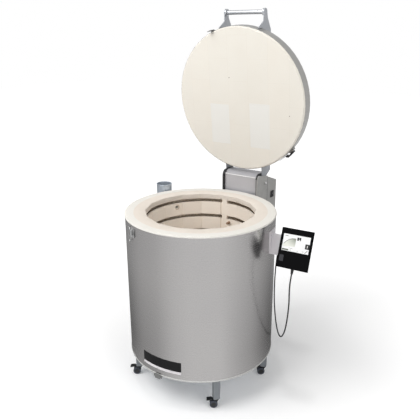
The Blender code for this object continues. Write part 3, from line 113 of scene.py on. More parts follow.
# %% Add and join a node
def join(tree, kind, sockets=None, **settings):
    """Add a node with its settings, and fill its sockets with values or with other nodes' outputs."""
    made = tree.nodes.new(kind)
    for key, value in settings.items():
        setattr(made, key, value)
    for name, value in (sockets or {}).items():
        if isinstance(value, bpy.types.NodeSocket):
            tree.links.new(value, made.inputs[name])
        else:
            made.inputs[name].default_value = value
    return made


def blend_colours(tree, share, first, second):
    """The first colour where the share is 0, the second where it is 1."""
    made = join(tree, "ShaderNodeMix", data_type="RGBA")
    for index, value in ((0, share), (6, first), (7, second)):
        if isinstance(value, bpy.types.NodeSocket):
            tree.links.new(value, made.inputs[index])
        else:
            made.inputs[index].default_value = value
    return made.outputs[2]


def number(tree, operation, first, second=0.5, third=0.5, clamp=False):
    """One step of arithmetic on numbers or outputs."""
    sockets = {0: first, 1: second, 2: third}
    return join(tree, "ShaderNodeMath", sockets, operation=operation, use_clamp=clamp).outputs[0]


print("nodes can be added and joined")

# %% [markdown]
# A new material starts with one shader for all purposes, the Principled BSDF. Metal, paint and plastic keep
# it. What glows by itself starts from an empty net. A third helper asks what kind of ray meets a surface,
# so that the floor and the room can look white without throwing more light on the kiln.

# %% Start a material
def shaded_material(name):
    """A material, its node tree and its Principled shader."""
    made = bpy.data.materials.new(name)
    made.use_nodes = True
    return made, made.node_tree, made.node_tree.nodes["Principled BSDF"]


def empty_tree(owner):
    """The node tree of a material or a world, with nothing in it."""
    owner.use_nodes = True
    owner.node_tree.nodes.clear()
    return owner.node_tree


def looked_at(tree):
    """1 for rays of the camera, of reflections and through glass, and 0 for all other rays."""
    seen = join(tree, "ShaderNodeLightPath").outputs
    mirrored = number(tree, "ADD", seen["Is Camera Ray"], seen["Is Glossy Ray"], clamp=True)
    return number(tree, "ADD", mirrored, seen["Is Transmission Ray"], clamp=True)


print("materials can be started")

# %% [markdown]
# The floor is a plain pale studio sweep of one colour. Where the camera or a mirror-like surface looks
# straight at it, a little light of its own lifts it to white, least near the kiln, so that the kiln's
# shadow stays.

# %% Studio floor
FLOOR_HALF = 14
FLOOR_GAP = 0.0005
LIFT_FROM, LIFT_TO = 0.5, 2.2
LIFT_NEAR, LIFT_FAR = 0.12, 0.6
floor_corners = [(FLOOR_HALF * x, FLOOR_HALF * y, 0) for x, y in ((-1, -1), (1, -1), (1, 1), (-1, 1))]
floor_mesh = bpy.data.meshes.new("studio_floor")
floor_mesh.from_pydata(floor_corners, [], [(0, 1, 2, 3)])
floor = add_object("studio_floor", floor_mesh)
floor.location.z = -FLOOR_GAP
sweep = bpy.data.materials.new("pale_sweep")
tree = empty_tree(sweep)
matt = join(tree, "ShaderNodeBsdfDiffuse", {"Color": shade(243, 243, 243)})
where = join(tree, "ShaderNodeTexCoord").outputs["Object"]
away = join(tree, "ShaderNodeVectorMath", {0: where, 1: tuple(AXIS)}, operation="DISTANCE").outputs["Value"]
glow = join(tree, "ShaderNodeMapRange", {
    "Value": away, "From Min": LIFT_FROM, "From Max": LIFT_TO, "To Min": LIFT_NEAR, "To Max": LIFT_FAR})
lifted = number(tree, "MULTIPLY", looked_at(tree), glow.outputs[0])
lift = join(tree, "ShaderNodeEmission", {"Strength": lifted})
both = join(tree, "ShaderNodeAddShader", {0: matt.outputs[0], 1: lift.outputs[0]})
join(tree, "ShaderNodeOutputMaterial", {"Surface": both.outputs[0]})
floor_mesh.materials.append(sweep)
print("floor laid", FLOOR_GAP * 1000, "mm under the wheels")

# %% [markdown]
# The room is a plain world. It shows white to the camera and in reflections, and it lights the kiln a
# little less than that, because the lamps add the rest.

# %% The room
ROOM_LIGHT = 0.44
room = bpy.data.worlds.new("white_room")
tree = empty_tree(room)
strength = number(tree, "MULTIPLY_ADD", looked_at(tree), 1 - ROOM_LIGHT, ROOM_LIGHT)
sky = join(tree, "ShaderNodeBackground", {"Color": (1, 1, 1, 1), "Strength": strength})
join(tree, "ShaderNodeOutputWorld", {"Surface": sky.outputs[0]})
bpy.context.scene.world = room
print("the room lights the kiln at", ROOM_LIGHT, "of white")

# %% [markdown]
# Two big soft lamps light the kiln as a softbox over a product would: the larger one high on the left, a
# weaker one on the right. A third, weak light comes from above, to draw the shadow together under the kiln.

# %% Lamps
def soft_lamp(name, place, aim, width, power):
    """A soft rectangular lamp at a place, turned toward its aim."""
    light = bpy.data.lights.new(name, "AREA")
    light.shape = "RECTANGLE"
    light.size = width
    light.size_y = width * 0.8
    light.energy = power
    lamp = add_object(name, light)
    lamp.location = place
    lamp.rotation_euler = (Vector(aim) - Vector(place)).to_track_quat("-Z", "Y").to_euler()


soft_lamp("top_left_softbox", place=(-1.1, -2.2, 3.7), aim=(0, 0, 0.8), width=2.6, power=96)
soft_lamp("right_fill", place=(2.8, -1.4, 2.4), aim=(0, 0, 0.9), width=1.8, power=26)
overhead = bpy.data.lights.new("overhead", "SUN")
overhead.energy = 0.25
overhead.angle = math.radians(5)
add_object("overhead", overhead).rotation_euler = (math.radians(3), math.radians(-3), 0)
print("two soft lamps and the overhead light placed")

# %% [markdown]
# Polished steel shows whatever stands round it. A product photographer bends a grey card round a steel
# drum, pale toward the camera and darker behind, so that the drum's edges read darker than its middle. This
# one is no lit card but glows by itself with painted tones, a painted reflection for the steel. It shows in
# reflections only: it throws no shadow, and no view sees it.

# %% Bent card for the steel to mirror
CARD_INNER = 0.40
CARD_AWAY = 0.72
CARD_FOOT = 0.002
CARD_HEIGHT = 1.0
CARD_SIDES = 72
card_points = []
for step in range(CARD_SIDES):
    angle = TURN * step / CARD_SIDES
    for away, level in ((CARD_INNER, CARD_FOOT), (CARD_AWAY, CARD_FOOT), (CARD_AWAY, CARD_HEIGHT)):
        card_points.append(tuple(AXIS + Vector((away * math.sin(angle), -away * math.cos(angle), level))))
card_faces = []
for step in range(CARD_SIDES):
    here, there = 3 * step, 3 * ((step + 1) % CARD_SIDES)
    card_faces += [(here, there, there + 1, here + 1), (here + 1, there + 1, there + 2, here + 2)]
card_mesh = bpy.data.meshes.new("bent_card")
card_mesh.from_pydata(card_points, [], card_faces)
card = add_object("bent_card", card_mesh)
for ray in ("camera", "diffuse", "transmission", "volume_scatter", "shadow"):
    setattr(card, f"visible_{ray}", False)
print("the card stands", CARD_AWAY, "m from the kiln's axis, for the steel only")

# %% [markdown]
# The card's painted glow changes on the way round: brightest at the front right, darkest at the left. Each
# tone is given with its azimuth in degrees, and the tones deepen toward the floor as painted shade.

# %% Painted glow of the card
CARD_TONES = ((-180, 0.42), (-150, 0.30), (-108, 0.22), (-73, 0.40), (-46, 0.60), (-19, 0.68), (2, 0.86),
              (22, 0.93), (56, 0.93), (76, 0.80), (99, 0.68), (119, 0.50), (142, 0.33), (180, 0.42))
BRIGHTEST = max(tone for degrees, tone in CARD_TONES)
card_painted_glow = bpy.data.materials.new("card_painted_glow")
tree = empty_tree(card_painted_glow)
where = join(tree, "ShaderNodeTexCoord").outputs["Object"]
centred = join(tree, "ShaderNodeVectorMath", {0: where, 1: tuple(AXIS)}, operation="SUBTRACT").outputs[0]
parts = join(tree, "ShaderNodeSeparateXYZ", {0: centred})
way_round = number(tree, "ARCTAN2", parts.outputs[0], number(tree, "MULTIPLY", parts.outputs[1], -1.0))
share = number(tree, "MULTIPLY_ADD", way_round, 1 / TURN, 0.5)
ramp = join(tree, "ShaderNodeValToRGB", {0: share})
for index, (degrees, tone) in enumerate(CARD_TONES):
    stops = ramp.color_ramp.elements
    place = (degrees + 180) / 360
    stop = stops[0] if index == 0 else stops[-1] if index == len(CARD_TONES) - 1 else stops.new(place)
    stop.position = place
    stop.color = (tone, tone, tone, 1)
foot = join(tree, "ShaderNodeMapRange", {
    "Value": parts.outputs[2], "From Min": 0.0, "From Max": 0.5, "To Min": 1.8, "To Max": 1.0}).outputs[0]
glow_darkened_to_floor = number(tree, "POWER", number(tree, "DIVIDE", ramp.outputs[0], BRIGHTEST), foot)
# The card's glow is painted light, darker toward the floor as painted shade.
glow = join(tree, "ShaderNodeEmission", {"Strength": number(tree, "MULTIPLY", glow_darkened_to_floor, BRIGHTEST)})
join(tree, "ShaderNodeOutputMaterial", {"Surface": glow.outputs[0]})
card_mesh.materials.append(card_painted_glow)
print(len(CARD_TONES), "tones painted round the card")

# %% [markdown]
# The controller hangs on a cable that goes back into the switch box. It leaves the controller's sleeve
# straight down, sags in one long curve past the drum, and rises into the box's gland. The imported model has
# the same route, so the points are repeated here, and a smooth curve is drawn through them.

# %% Route of the controller's cable
CABLE_ROUTE = (
    (0.51198, -0.01137, 0.69742), (0.5127, -0.0186, 0.6810), (0.5130, -0.0262, 0.6520),
    (0.5120, -0.0260, 0.6100), (0.5060, -0.0100, 0.5400), (0.4870, 0.0220, 0.4400),
    (0.4520, 0.0780, 0.3350), (0.4050, 0.1500, 0.2500), (0.3520, 0.2320, 0.1950),
    (0.2970, 0.3170, 0.1770), (0.2480, 0.3920, 0.2000), (0.2080, 0.4530, 0.2650),
    (0.1860, 0.4930, 0.3600), (0.1800, 0.5130, 0.4600), (0.1812, 0.5225, 0.5200),
    (0.1822, 0.5275, 0.5580), (0.1826, 0.5295, 0.5760), (0.1826, 0.5300, 0.5870),
    (0.1801, 0.5300, 0.5994), (0.1731, 0.5300, 0.6100), (0.1626, 0.5300, 0.6170),
    (0.1540, 0.5300, 0.6196), (0.1458, 0.5300, 0.6200),
)
CABLE_DIAMETER = 0.007


def curve_through(route, count):
    """Evenly counted points on a smooth curve that passes through the route's own points."""
    spots = [Vector(point) for point in route]
    spots = [2 * spots[0] - spots[1], *spots, 2 * spots[-1] - spots[-2]]
    spans = len(route) - 1
    points = []
    for step in range(count):
        along = step / (count - 1) * spans
        span = min(int(along), spans - 1)
        t = along - span
        before, here, there, after = spots[span:span + 4]
        points.append((
            2 * here + (there - before) * t + (2 * before - 5 * here + 4 * there - after) * t ** 2
            + (3 * here - before - 3 * there + after) * t ** 3
        ) / 2)
    return points


cable_points = curve_through(CABLE_ROUTE, 140)

# %% [markdown]
# A curve with a round bevel is the natural way to draw a cable, a coil or a spring: its line is the centre
# and the bevel gives it thickness.

# %% Round wire through points
def round_wire(name, points, radius, finish, body, sides=2, place=ON_KILN):
    """A round wire with closed ends, which rides on a body."""
    curve = bpy.data.curves.new(name, "CURVE")
    curve.dimensions = "3D"
    curve.bevel_depth = radius
    curve.bevel_resolution = sides
    curve.use_fill_caps = True
    line = curve.splines.new("POLY")
    line.points.add(len(points) - 1)
    for spot, point in zip(line.points, points):
        spot.co = (*(place @ Vector(point)), 1)
    line.use_smooth = True
    curve.materials.append(finish)
    wire = add_object(name, curve)
    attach(wire, body)
    return wire


print("wires can be drawn")

# %% [markdown]
# Most finishes here share one recipe. A soft cloudiness mixes two close colours, a finer grain changes how
# dull the surface is and raises it slightly, and the sharp edges of the solid are rounded in the shading
# and painted a little lighter, partly as wear and partly as a painted highlight.

# %% Shared recipe for a finish
def make_finish(name, first, second, rough, metallic=0.0, cloud=6.0, stretch=(1, 1, 1), grain=400.0,
                raised=0.0001, edge_wear_and_highlight=None, edge_radius=0.0008, more=None):
    """Cloudy colour, grained roughness, fine raised grain, and rounded edges lighter as wear and painted
    highlight.
    """
    finish, tree, shader = shaded_material(name)
    shader.inputs["Metallic"].default_value = metallic
    for socket, value in (more or {}).items():
        shader.inputs[socket].default_value = value
    where = join(tree, "ShaderNodeTexCoord").outputs["Object"]
    laid = join(tree, "ShaderNodeMapping", {"Vector": where, "Scale": stretch}).outputs[0]
    clouds = join(tree, "ShaderNodeTexNoise", {"Vector": where, "Scale": cloud, "Detail": 4.0}).outputs[0]
    fine = join(tree, "ShaderNodeTexNoise", {"Vector": laid, "Scale": grain, "Detail": 3.0}).outputs[0]
    colour = blend_colours(tree, number(tree, "MULTIPLY_ADD", clouds, 1.8, -0.4, clamp=True), first, second)
    bent = join(tree, "ShaderNodeBevel", {"Radius": edge_radius}, samples=4).outputs[0]
    # Edges are painted lighter, partly as wear and partly as a painted highlight.
    if edge_wear_and_highlight:
        flat = join(tree, "ShaderNodeNewGeometry").outputs["Normal"]
        turned_away = join(tree, "ShaderNodeVectorMath", {0: bent, 1: flat}, operation="DOT_PRODUCT")
        worn_and_lit_edges = number(tree, "MULTIPLY_ADD", turned_away.outputs["Value"], -6.0, 6.0, clamp=True)
        worn_and_lit_edges = number(tree, "MULTIPLY", worn_and_lit_edges, fine, clamp=True)
        colour = blend_colours(tree, worn_and_lit_edges, colour, edge_wear_and_highlight)
    tree.links.new(colour, shader.inputs["Base Color"])
    dull = number(tree, "MULTIPLY_ADD", fine, rough[1] - rough[0], rough[0])
    tree.links.new(dull, shader.inputs["Roughness"])
    skin = join(tree, "ShaderNodeBump", {"Strength": 0.6, "Distance": raised, "Height": fine, "Normal": bent})
    tree.links.new(skin.outputs[0], shader.inputs["Normal"])
    return finish


print("the shared recipe is ready")

# %% [markdown]
# The cable's jacket is soft black-grey plastic, dull and very finely grained.

# %% The cable itself
jacket = make_finish("cable_jacket", shade(36, 36, 38), shade(26, 26, 28), (0.45, 0.6), grain=900,
                     raised=0.00005)
cable = round_wire("controller_cord", cable_points, CABLE_DIAMETER / 2, jacket, "kiln", 4)
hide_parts("controller_cable")
print("cable drawn from the controller to the box")

# %% [markdown]
# The drum is a sheet of stainless steel rolled round the kiln. Rolling and brushing leave fine lines that
# run round it, so the grain is squeezed in height and drawn out along the sheet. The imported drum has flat
# facets. Its shading takes the direction straight out from the kiln's axis instead, so that it reads as
# truly round.

# %% Brushed steel of the drum
drum_steel = make_finish("drum_steel", shade(183, 181, 181), shade(187, 185, 184), (0.270, 0.276),
                         metallic=1.0, cloud=3.0, stretch=(1, 1, 30), grain=26, raised=0.0000002,
                         edge_wear_and_highlight=shade(206, 206, 204))
box_steel = make_finish("box_steel", shade(198, 197, 194), shade(182, 181, 179), (0.38, 0.48), metallic=0.6,
                        cloud=26, stretch=(1, 1, 20), grain=60, raised=0.000004, edge_wear_and_highlight=shade(214, 214, 212))
band_steel = make_finish("band_steel", shade(160, 159, 157), shade(150, 149, 147), (0.42, 0.50), metallic=0.9,
                         cloud=6, stretch=(14, 14, 14), grain=30, raised=0.000004, edge_wear_and_highlight=shade(205, 203, 200))
bead_steel = make_finish("bead_steel", shade(206, 206, 204), shade(196, 196, 194), (0.50, 0.60), metallic=0.5,
                         cloud=8, grain=60, raised=0.000002, edge_wear_and_highlight=shade(222, 222, 220))
tree = drum_steel.node_tree
where = join(tree, "ShaderNodeTexCoord").outputs["Object"]
from_axis = join(tree, "ShaderNodeVectorMath", {0: where, 1: tuple(AXIS)}, operation="SUBTRACT").outputs[0]
level = join(tree, "ShaderNodeVectorMath", {0: from_axis, 1: (1, 1, 0)}, operation="MULTIPLY").outputs[0]
round_out = join(tree, "ShaderNodeVectorMath", {0: level}, operation="NORMALIZE").outputs[0]
tree.links.new(round_out, tree.nodes["Principled BSDF"].inputs["Normal"])
print("four steels made, the drum's shaded as truly round")

# %% [markdown]
# The other sheets and paints: a light satin cover over the spring, paler sheet on the bracket, blue-grey
# pipe, grey paint on the legs and a lighter one on the lid's arms.

# %% Cover, pipe and paint
cover_sheet = make_finish("cover_sheet", shade(194, 193, 196), shade(184, 183, 187), (0.42, 0.54),
                          metallic=0.35, cloud=7, stretch=(1, 14, 14), grain=36, raised=0.000006,
                          edge_wear_and_highlight=shade(236, 236, 238))
light_sheet = make_finish("light_sheet", shade(230, 226, 229), shade(222, 218, 221), (0.44, 0.54), cloud=12,
                          grain=300, raised=0.00001, edge_wear_and_highlight=shade(236, 236, 238))
pipe_steel = make_finish("pipe_steel", shade(196, 203, 211), shade(176, 184, 193), (0.34, 0.46), metallic=0.6,
                         cloud=9, stretch=(1, 1, 3), grain=200, raised=0.00002, edge_wear_and_highlight=shade(222, 227, 232))
leg_paint = make_finish("leg_paint", shade(138, 142, 146), shade(122, 126, 131), (0.42, 0.55), metallic=0.25,
                        cloud=14, grain=500, raised=0.00008, edge_wear_and_highlight=shade(200, 203, 206))
arm_paint = make_finish("arm_paint", shade(176, 179, 184), shade(164, 167, 172), (0.42, 0.52), metallic=0.25,
                        cloud=10, grain=500, raised=0.00008, edge_wear_and_highlight=shade(222, 224, 226))
print("five finishes made for sheet, pipe and paint")

# %% [markdown]
# The fittings are small and bright: a zinc-plated latch and shaft, a duller slide and keeper, and a handle
# bar of brushed steel, whose grain is drawn out across its length.

# %% Slide, latch, zinc and handle bar
slide_grey = make_finish("slide_grey", shade(134, 134, 133), shade(116, 116, 116), (0.42, 0.55), metallic=0.3,
                         cloud=30, grain=300, raised=0.00001, edge_wear_and_highlight=shade(176, 176, 175))
latch_zinc = make_finish("latch_zinc", shade(188, 188, 187), shade(158, 159, 160), (0.34, 0.46), metallic=0.45,
                         cloud=70, grain=500, raised=0.00003, edge_wear_and_highlight=shade(232, 232, 232))
keeper_grey = make_finish("keeper_grey", shade(144, 143, 143), shade(132, 131, 131), (0.45, 0.55), metallic=0.1,
                          cloud=50, grain=400, raised=0.00002, edge_wear_and_highlight=shade(190, 190, 190))
zinc = make_finish("zinc", shade(196, 196, 194), shade(172, 173, 175), (0.24, 0.36), metallic=1.0,
                   cloud=60, grain=500, raised=0.00003, edge_wear_and_highlight=shade(232, 232, 232))
satin_bar = make_finish("satin_bar", shade(186, 188, 191), shade(158, 160, 164), (0.22, 0.34), metallic=0.95,
                        cloud=12, stretch=(6, 1, 1), grain=240, raised=0.00003, edge_wear_and_highlight=shade(235, 236, 238))
print("five finishes made for the fittings")

# %% [markdown]
# Plastics, rubber and glass: moulded black with a fine grain, grey-blue wheel treads, a glossy black front
# glass and the pale glass of the screen.

# %% Plastics, rubber and glass
black_plastic = make_finish("black_plastic", shade(30, 30, 32), shade(22, 22, 24), (0.38, 0.5), cloud=20,
                            grain=1200, raised=0.00006, edge_wear_and_highlight=shade(70, 70, 74))
tread_rubber = make_finish("tread_rubber", shade(70, 75, 86), shade(56, 61, 71), (0.5, 0.68), cloud=40,
                           grain=900, raised=0.00008, edge_wear_and_highlight=shade(92, 98, 110))
front_glass = make_finish("front_glass", shade(7, 7, 8), shade(10, 10, 12), (0.10, 0.18), cloud=14,
                          grain=60, raised=0.000004, edge_wear_and_highlight=shade(50, 50, 54), edge_radius=0.001,
                          more={"Specular IOR Level": 0.06})
screen_glass = make_finish("screen_glass", shade(242, 242, 241), shade(236, 236, 236), (0.12, 0.2), cloud=30,
                           grain=300, raised=0.000004, edge_radius=0.0003)
key_grey = make_finish("key_grey", shade(178, 180, 182), shade(164, 166, 168), (0.4, 0.52), cloud=60,
                       grain=900, raised=0.00004, edge_wear_and_highlight=shade(205, 206, 208))
flap_rubber = make_finish("flap_rubber", shade(40, 40, 46), shade(30, 30, 36), (0.5, 0.62), cloud=60,
                          grain=1500, raised=0.00006, edge_wear_and_highlight=shade(84, 84, 90))
plate_black = make_finish("plate_black", shade(13, 13, 15), shade(18, 18, 20), (0.22, 0.34), cloud=40,
                          grain=700, raised=0.000004, edge_wear_and_highlight=shade(60, 60, 62), edge_radius=0.0005,
                          more={"Specular IOR Level": 0.2})
print("plastics, rubber and glass made")

# %% [markdown]
# The white collar, the wool behind the bricks and the heating wire each have their own surface: pressed
# fibre is softly pitted, wool is matted, and the wire is dull with oxide.

# %% Fibre, wool, ceramic and oxide
rim_fibre = make_finish("rim_fibre", shade(226, 223, 217), shade(221, 218, 211), (0.80, 0.95), cloud=9,
                        grain=520, raised=0.0003, edge_wear_and_highlight=shade(240, 238, 232), edge_radius=0.002)
packed_wool = make_finish("packed_wool", shade(236, 234, 226), shade(216, 212, 200), (0.95, 1.0), cloud=30,
                          grain=220, raised=0.002, more={"Sheen Weight": 0.2})
probe_ceramic = make_finish("probe_ceramic", shade(160, 130, 104), shade(134, 106, 84), (0.6, 0.8), cloud=60,
                            grain=900, raised=0.0001)
oxide_wire = make_finish("oxide_wire", shade(104, 87, 68), shade(86, 71, 55), (0.55, 0.75), metallic=0.2,
                         cloud=40, grain=900, raised=0.0001)
print("fibre, wool, ceramic and oxide made")

# %% [markdown]
# Insulating firebrick is light, full of pores and never one colour. Wall, lid and floor share the pale
# porous stuff, which comes from cloudy noise for the tint and small cells for the pores. The joints are
# added later, darker and sunk a little, because each of the three is laid in its own way.

# %% Porous firebrick
def brick_finish(name, first, second, pore):
    """Pale porous brick: the material, and the parts of its net that the joints are joined to."""
    finish, tree, shader = shaded_material(name)
    shader.inputs["Roughness"].default_value = 0.95
    shader.inputs["Specular IOR Level"].default_value = 0.25
    where = join(tree, "ShaderNodeTexCoord").outputs["Object"]
    clouds = join(tree, "ShaderNodeTexNoise", {"Vector": where, "Scale": 11.0, "Detail": 5.0}).outputs[0]
    pores = join(tree, "ShaderNodeTexVoronoi", {"Vector": where, "Scale": 420.0, "Randomness": 1.0}).outputs[0]
    pits = number(tree, "MULTIPLY_ADD", pores, -4.0, 1.4, clamp=True)
    colour = blend_colours(tree, number(tree, "MULTIPLY_ADD", clouds, 1.6, -0.3, clamp=True), first, second)
    colour = blend_colours(tree, number(tree, "MULTIPLY", pits, 0.35), colour, pore)
    return finish, tree, shader, where, colour, pits


def finish_bricks(tree, shader, colour, joint, dark, pits, depth=0.0006):
    """Darken the joints and sink both joints and pores."""
    colour = blend_colours(tree, joint, colour, dark)
    tree.links.new(colour, shader.inputs["Base Color"])
    sunk = number(tree, "MULTIPLY_ADD", pits, 0.4, joint)
    facet = join(tree, "ShaderNodeNewGeometry").outputs["True Normal"]
    skin = join(tree, "ShaderNodeBump", {
        "Strength": 0.5, "Distance": depth, "Height": sunk, "Normal": facet}, invert=True)
    tree.links.new(skin.outputs[0], shader.inputs["Normal"])


print("firebrick can be made")

# %% [markdown]
# Each brick of the sixteen-sided wall gets a tint of its own, with a thin joint between neighbours. The
# brick that a point belongs to is found from its azimuth round the kiln's axis, so the joints fall on the
# corners of the wall. The joint beside the land at the back is wider. Azimuths are measured from the back
# here.

# %% Bricks of the wall
WALL_SIDES = 16
JOINT_FROM = 0.4935
WIDE_JOINT = math.radians(-10.6)
WIDE_JOINT_HALF = math.radians(0.42)
wall_brick, tree, shader, where, colour, pits = brick_finish(
    "wall_brick", shade(246, 237, 226), shade(242, 232, 220), shade(226, 213, 198))
centred = join(tree, "ShaderNodeVectorMath", {0: where, 1: tuple(AXIS)}, operation="SUBTRACT").outputs[0]
parts = join(tree, "ShaderNodeSeparateXYZ", {0: centred})
azimuth = number(tree, "ARCTAN2", parts.outputs[0], parts.outputs[1])
count = number(tree, "MULTIPLY_ADD", azimuth, WALL_SIDES / TURN, (WALL_SIDES + 1) / 2)
brick = number(tree, "FLOOR", count)
tint = join(tree, "ShaderNodeTexWhiteNoise", {"W": brick}, noise_dimensions="1D").outputs[0]
colour = blend_colours(tree, number(tree, "MULTIPLY", tint, 0.35), colour, shade(245, 232, 217))
from_middle = number(tree, "ABSOLUTE", number(tree, "SUBTRACT", number(tree, "FRACT", count), 0.5))
joint = number(tree, "MULTIPLY", number(tree, "GREATER_THAN", from_middle, JOINT_FROM), 0.3)
wide_joint = number(tree, "COMPARE", azimuth, WIDE_JOINT, WIDE_JOINT_HALF)
joint = number(tree, "MAXIMUM", joint, number(tree, "MULTIPLY", wide_joint, 0.8))
finish_bricks(tree, shader, colour, joint, shade(196, 178, 158), pits)
print("wall bricks have", WALL_SIDES, "tints")

# %% [markdown]
# The lid and the floor are flat slabs cemented from long bricks. The lid stands open, so its pattern is
# first turned back to where it would lie with the lid shut, with the long sides from hinge to handle.
# Blender's own brick pattern then gives the joints, very faint here, because the real slab is coated after
# it is cemented.

# %% Firebrick slabs
BRICK_LENGTH = 0.228
BRICK_WIDTH = 0.116
MORTAR = 0.0008


def slab_finish(name, turn, shift, joint_strength, patches=()):
    """Coated brick slab, laid flat by a turn and a shift. A patch is a paler brick's middle and half size."""
    finish, tree, shader, where, colour, pits = brick_finish(
        name, shade(231, 227, 218), shade(228, 223, 213), shade(217, 210, 197))
    flat = join(tree, "ShaderNodeMapping", {"Vector": where, "Rotation": turn, "Location": shift}).outputs[0]
    rows = join(tree, "ShaderNodeTexBrick", {
        "Vector": flat, "Scale": 1.0, "Mortar Size": MORTAR, "Mortar Smooth": 0.3, "Bias": 0.0,
        "Brick Width": BRICK_LENGTH, "Row Height": BRICK_WIDTH, "Color1": (0, 0, 0, 1), "Color2": (1, 1, 1, 1),
        "Mortar": (0.5, 0.5, 0.5, 1)})
    pick = join(tree, "ShaderNodeSeparateColor", {0: rows.outputs["Color"]}).outputs[0]
    colour = blend_colours(tree, number(tree, "MULTIPLY", pick, 0.3), colour, shade(234, 226, 214))
    spot = join(tree, "ShaderNodeSeparateXYZ", {0: flat}).outputs
    for middle, half in patches:
        inside = [number(tree, "COMPARE", spot[side], middle[side], half[side]) for side in (0, 1)]
        share = number(tree, "MULTIPLY", number(tree, "MULTIPLY", inside[0], inside[1]), 0.6)
        colour = blend_colours(tree, share, colour, shade(231, 231, 228))
    joint = number(tree, "MULTIPLY", rows.outputs["Fac"], joint_strength)
    finish_bricks(tree, shader, colour, joint, shade(196, 182, 162), pits, 0.0004)
    return finish


back_to_shut = Matrix.Rotation(LID_OPEN, 3, "X")
lengthwise = Matrix.Rotation(TURN / 4, 3, "Z")
lid_shift = lengthwise @ (HINGE - back_to_shut @ (HINGE + AXIS)) + Vector((0.012, 0.058, 0))
pale_bricks = (((-0.119, -0.062), (0.108, 0.058)), ((-0.113, 0.180), (0.118, 0.058)))
lid_brick = slab_finish("lid_brick", (LID_OPEN, 0, TURN / 4), tuple(lid_shift), 0.14, pale_bricks)
floor_brick = slab_finish("floor_brick", (0, 0, 0), tuple(-AXIS), 0.6)
print("slab finishes made, the lid's turned back by", round(math.degrees(LID_OPEN), 1), "degrees")

# %% [markdown]
# Every solid now gets its finish. A loop goes through a table of names. The two kinds of node that aren't
# in it are the cable, which gets its jacket, and the heating elements, which get the oxide of their wire.

# %% Dress the solids
PLACES = ("front_left", "front_right", "rear_left", "rear_right")
dress = {
    "casing": drum_steel, "base_pan": pipe_steel, "rim_collar": rim_fibre, "wall_bricks": wall_brick,
    "floor_slab": floor_brick, "floor_insulation": packed_wool, "wall_insulation": packed_wool,
    "thermocouple": probe_ceramic, "vent_sleeve": rim_fibre, "vent_outlet": pipe_steel,
    "latch_base": latch_zinc, "latch_lever": latch_zinc, "latch_hook": latch_zinc, "hinge_frame": box_steel,
    "hinge_shaft": zinc,
    "lid_spring": zinc, "spring_cover": cover_sheet, "left_spring_cap": black_plastic,
    "right_spring_cap": black_plastic, "switch_box": box_steel, "switch_box_cover": box_steel,
    "switch_frame": black_plastic, "switch_rocker": black_plastic, "box_gland": black_plastic,
    "controller_bracket": light_sheet, "controller_shell": front_glass, "controller_screen": screen_glass,
    "controller_relief": black_plastic, "port_flap": flap_rubber, "lid_slab": lid_brick, "lid_band": band_steel,
    "left_lid_arm": arm_paint, "right_lid_arm": arm_paint, "handle_bar": satin_bar, "lid_keeper": keeper_grey,
    "air_slide": slide_grey,
}
for place in PLACES:
    dress[f"{place}_leg"] = leg_paint
    dress[f"{place}_caster_body"] = black_plastic
    dress[f"{place}_caster_wheels"] = tread_rubber
    dress[f"{place}_brake_pedal"] = black_plastic
for name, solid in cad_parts.items():
    finish = dress.get(name, jacket if name == "controller_cable" else oxide_wire)
    if not solid.material_slots:
        solid.data.materials.append(finish)
    for slot in solid.material_slots:
        slot.material = finish
print(len(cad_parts), "solids dressed, of which", len(dress), "by name")

# %% [markdown]
# Small forms are drawn in mesh code. Three helpers cover most of them: a profile turned round an axis, an
# outline pushed out to a thickness, and one that turns the result into a piece that rides on a body. Three
# small ones gather shapes, move them, and put faces between rows of points.

# %% Turn, extrude and place
def turned(profile, sides, closed=True):
    """A profile of (radius, height) turned round Z. Points on the axis become poles."""
    shape = bmesh.new()
    poles = {i: shape.verts.new((0, 0, h)) for i, (r, h) in enumerate(profile) if r == 0}
    rings = []
    for step in range(sides):
        angle = TURN * step / sides
        across, out = math.sin(angle), -math.cos(angle)
        rings.append([poles[i] if i in poles else shape.verts.new((r * across, r * out, h))
                      for i, (r, h) in enumerate(profile)])
    count = len(profile) if closed else len(profile) - 1
    for step in range(sides):
        here, there = rings[step], rings[(step + 1) % sides]
        for index in range(count):
            after = (index + 1) % len(profile)
            corners = list(dict.fromkeys((here[index], here[after], there[after], there[index])))
            if len(corners) > 2:
                shape.faces.new(corners)
    return shape


def pushed_out(outline, depth):
    """A flat outline of (x, z) with a thickness along +Y."""
    shape = bmesh.new()
    front = [shape.verts.new((x, 0, z)) for x, z in outline]
    back = [shape.verts.new((x, depth, z)) for x, z in outline]
    shape.faces.new(front)
    shape.faces.new(back)
    for index in range(len(outline)):
        after = (index + 1) % len(outline)
        shape.faces.new((front[index], front[after], back[after], back[index]))
    return shape


def settle(name, shape, finish, body, place=ON_KILN, round_off=0.0):
    """Turn a drawn shape into a piece that rides on a body, with its edges rounded where asked."""
    shape.transform(place)
    bmesh.ops.recalc_face_normals(shape, faces=shape.faces)
    mesh = bpy.data.meshes.new(name)
    shape.to_mesh(mesh)
    shape.free()
    mesh.materials.append(finish)
    mesh.shade_smooth()
    mesh.set_sharp_from_angle(angle=math.radians(38))
    made = add_object(name, mesh)
    if round_off:
        step = made.modifiers.new("round_off", "BEVEL")
        step.width = round_off
        step.segments = 2
        step.limit_method = "ANGLE"
    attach(made, body)
    return made


def gathered(shapes):
    """Several shapes made into one."""
    whole = bmesh.new()
    for shape in shapes:
        mesh = bpy.data.meshes.new("part_of_a_group")
        shape.to_mesh(mesh)
        shape.free()
        whole.from_mesh(mesh)
        bpy.data.meshes.remove(mesh)
    return whole


def moved(shape, matrix):
    """The same shape, carried by a matrix."""
    shape.transform(matrix)
    return shape


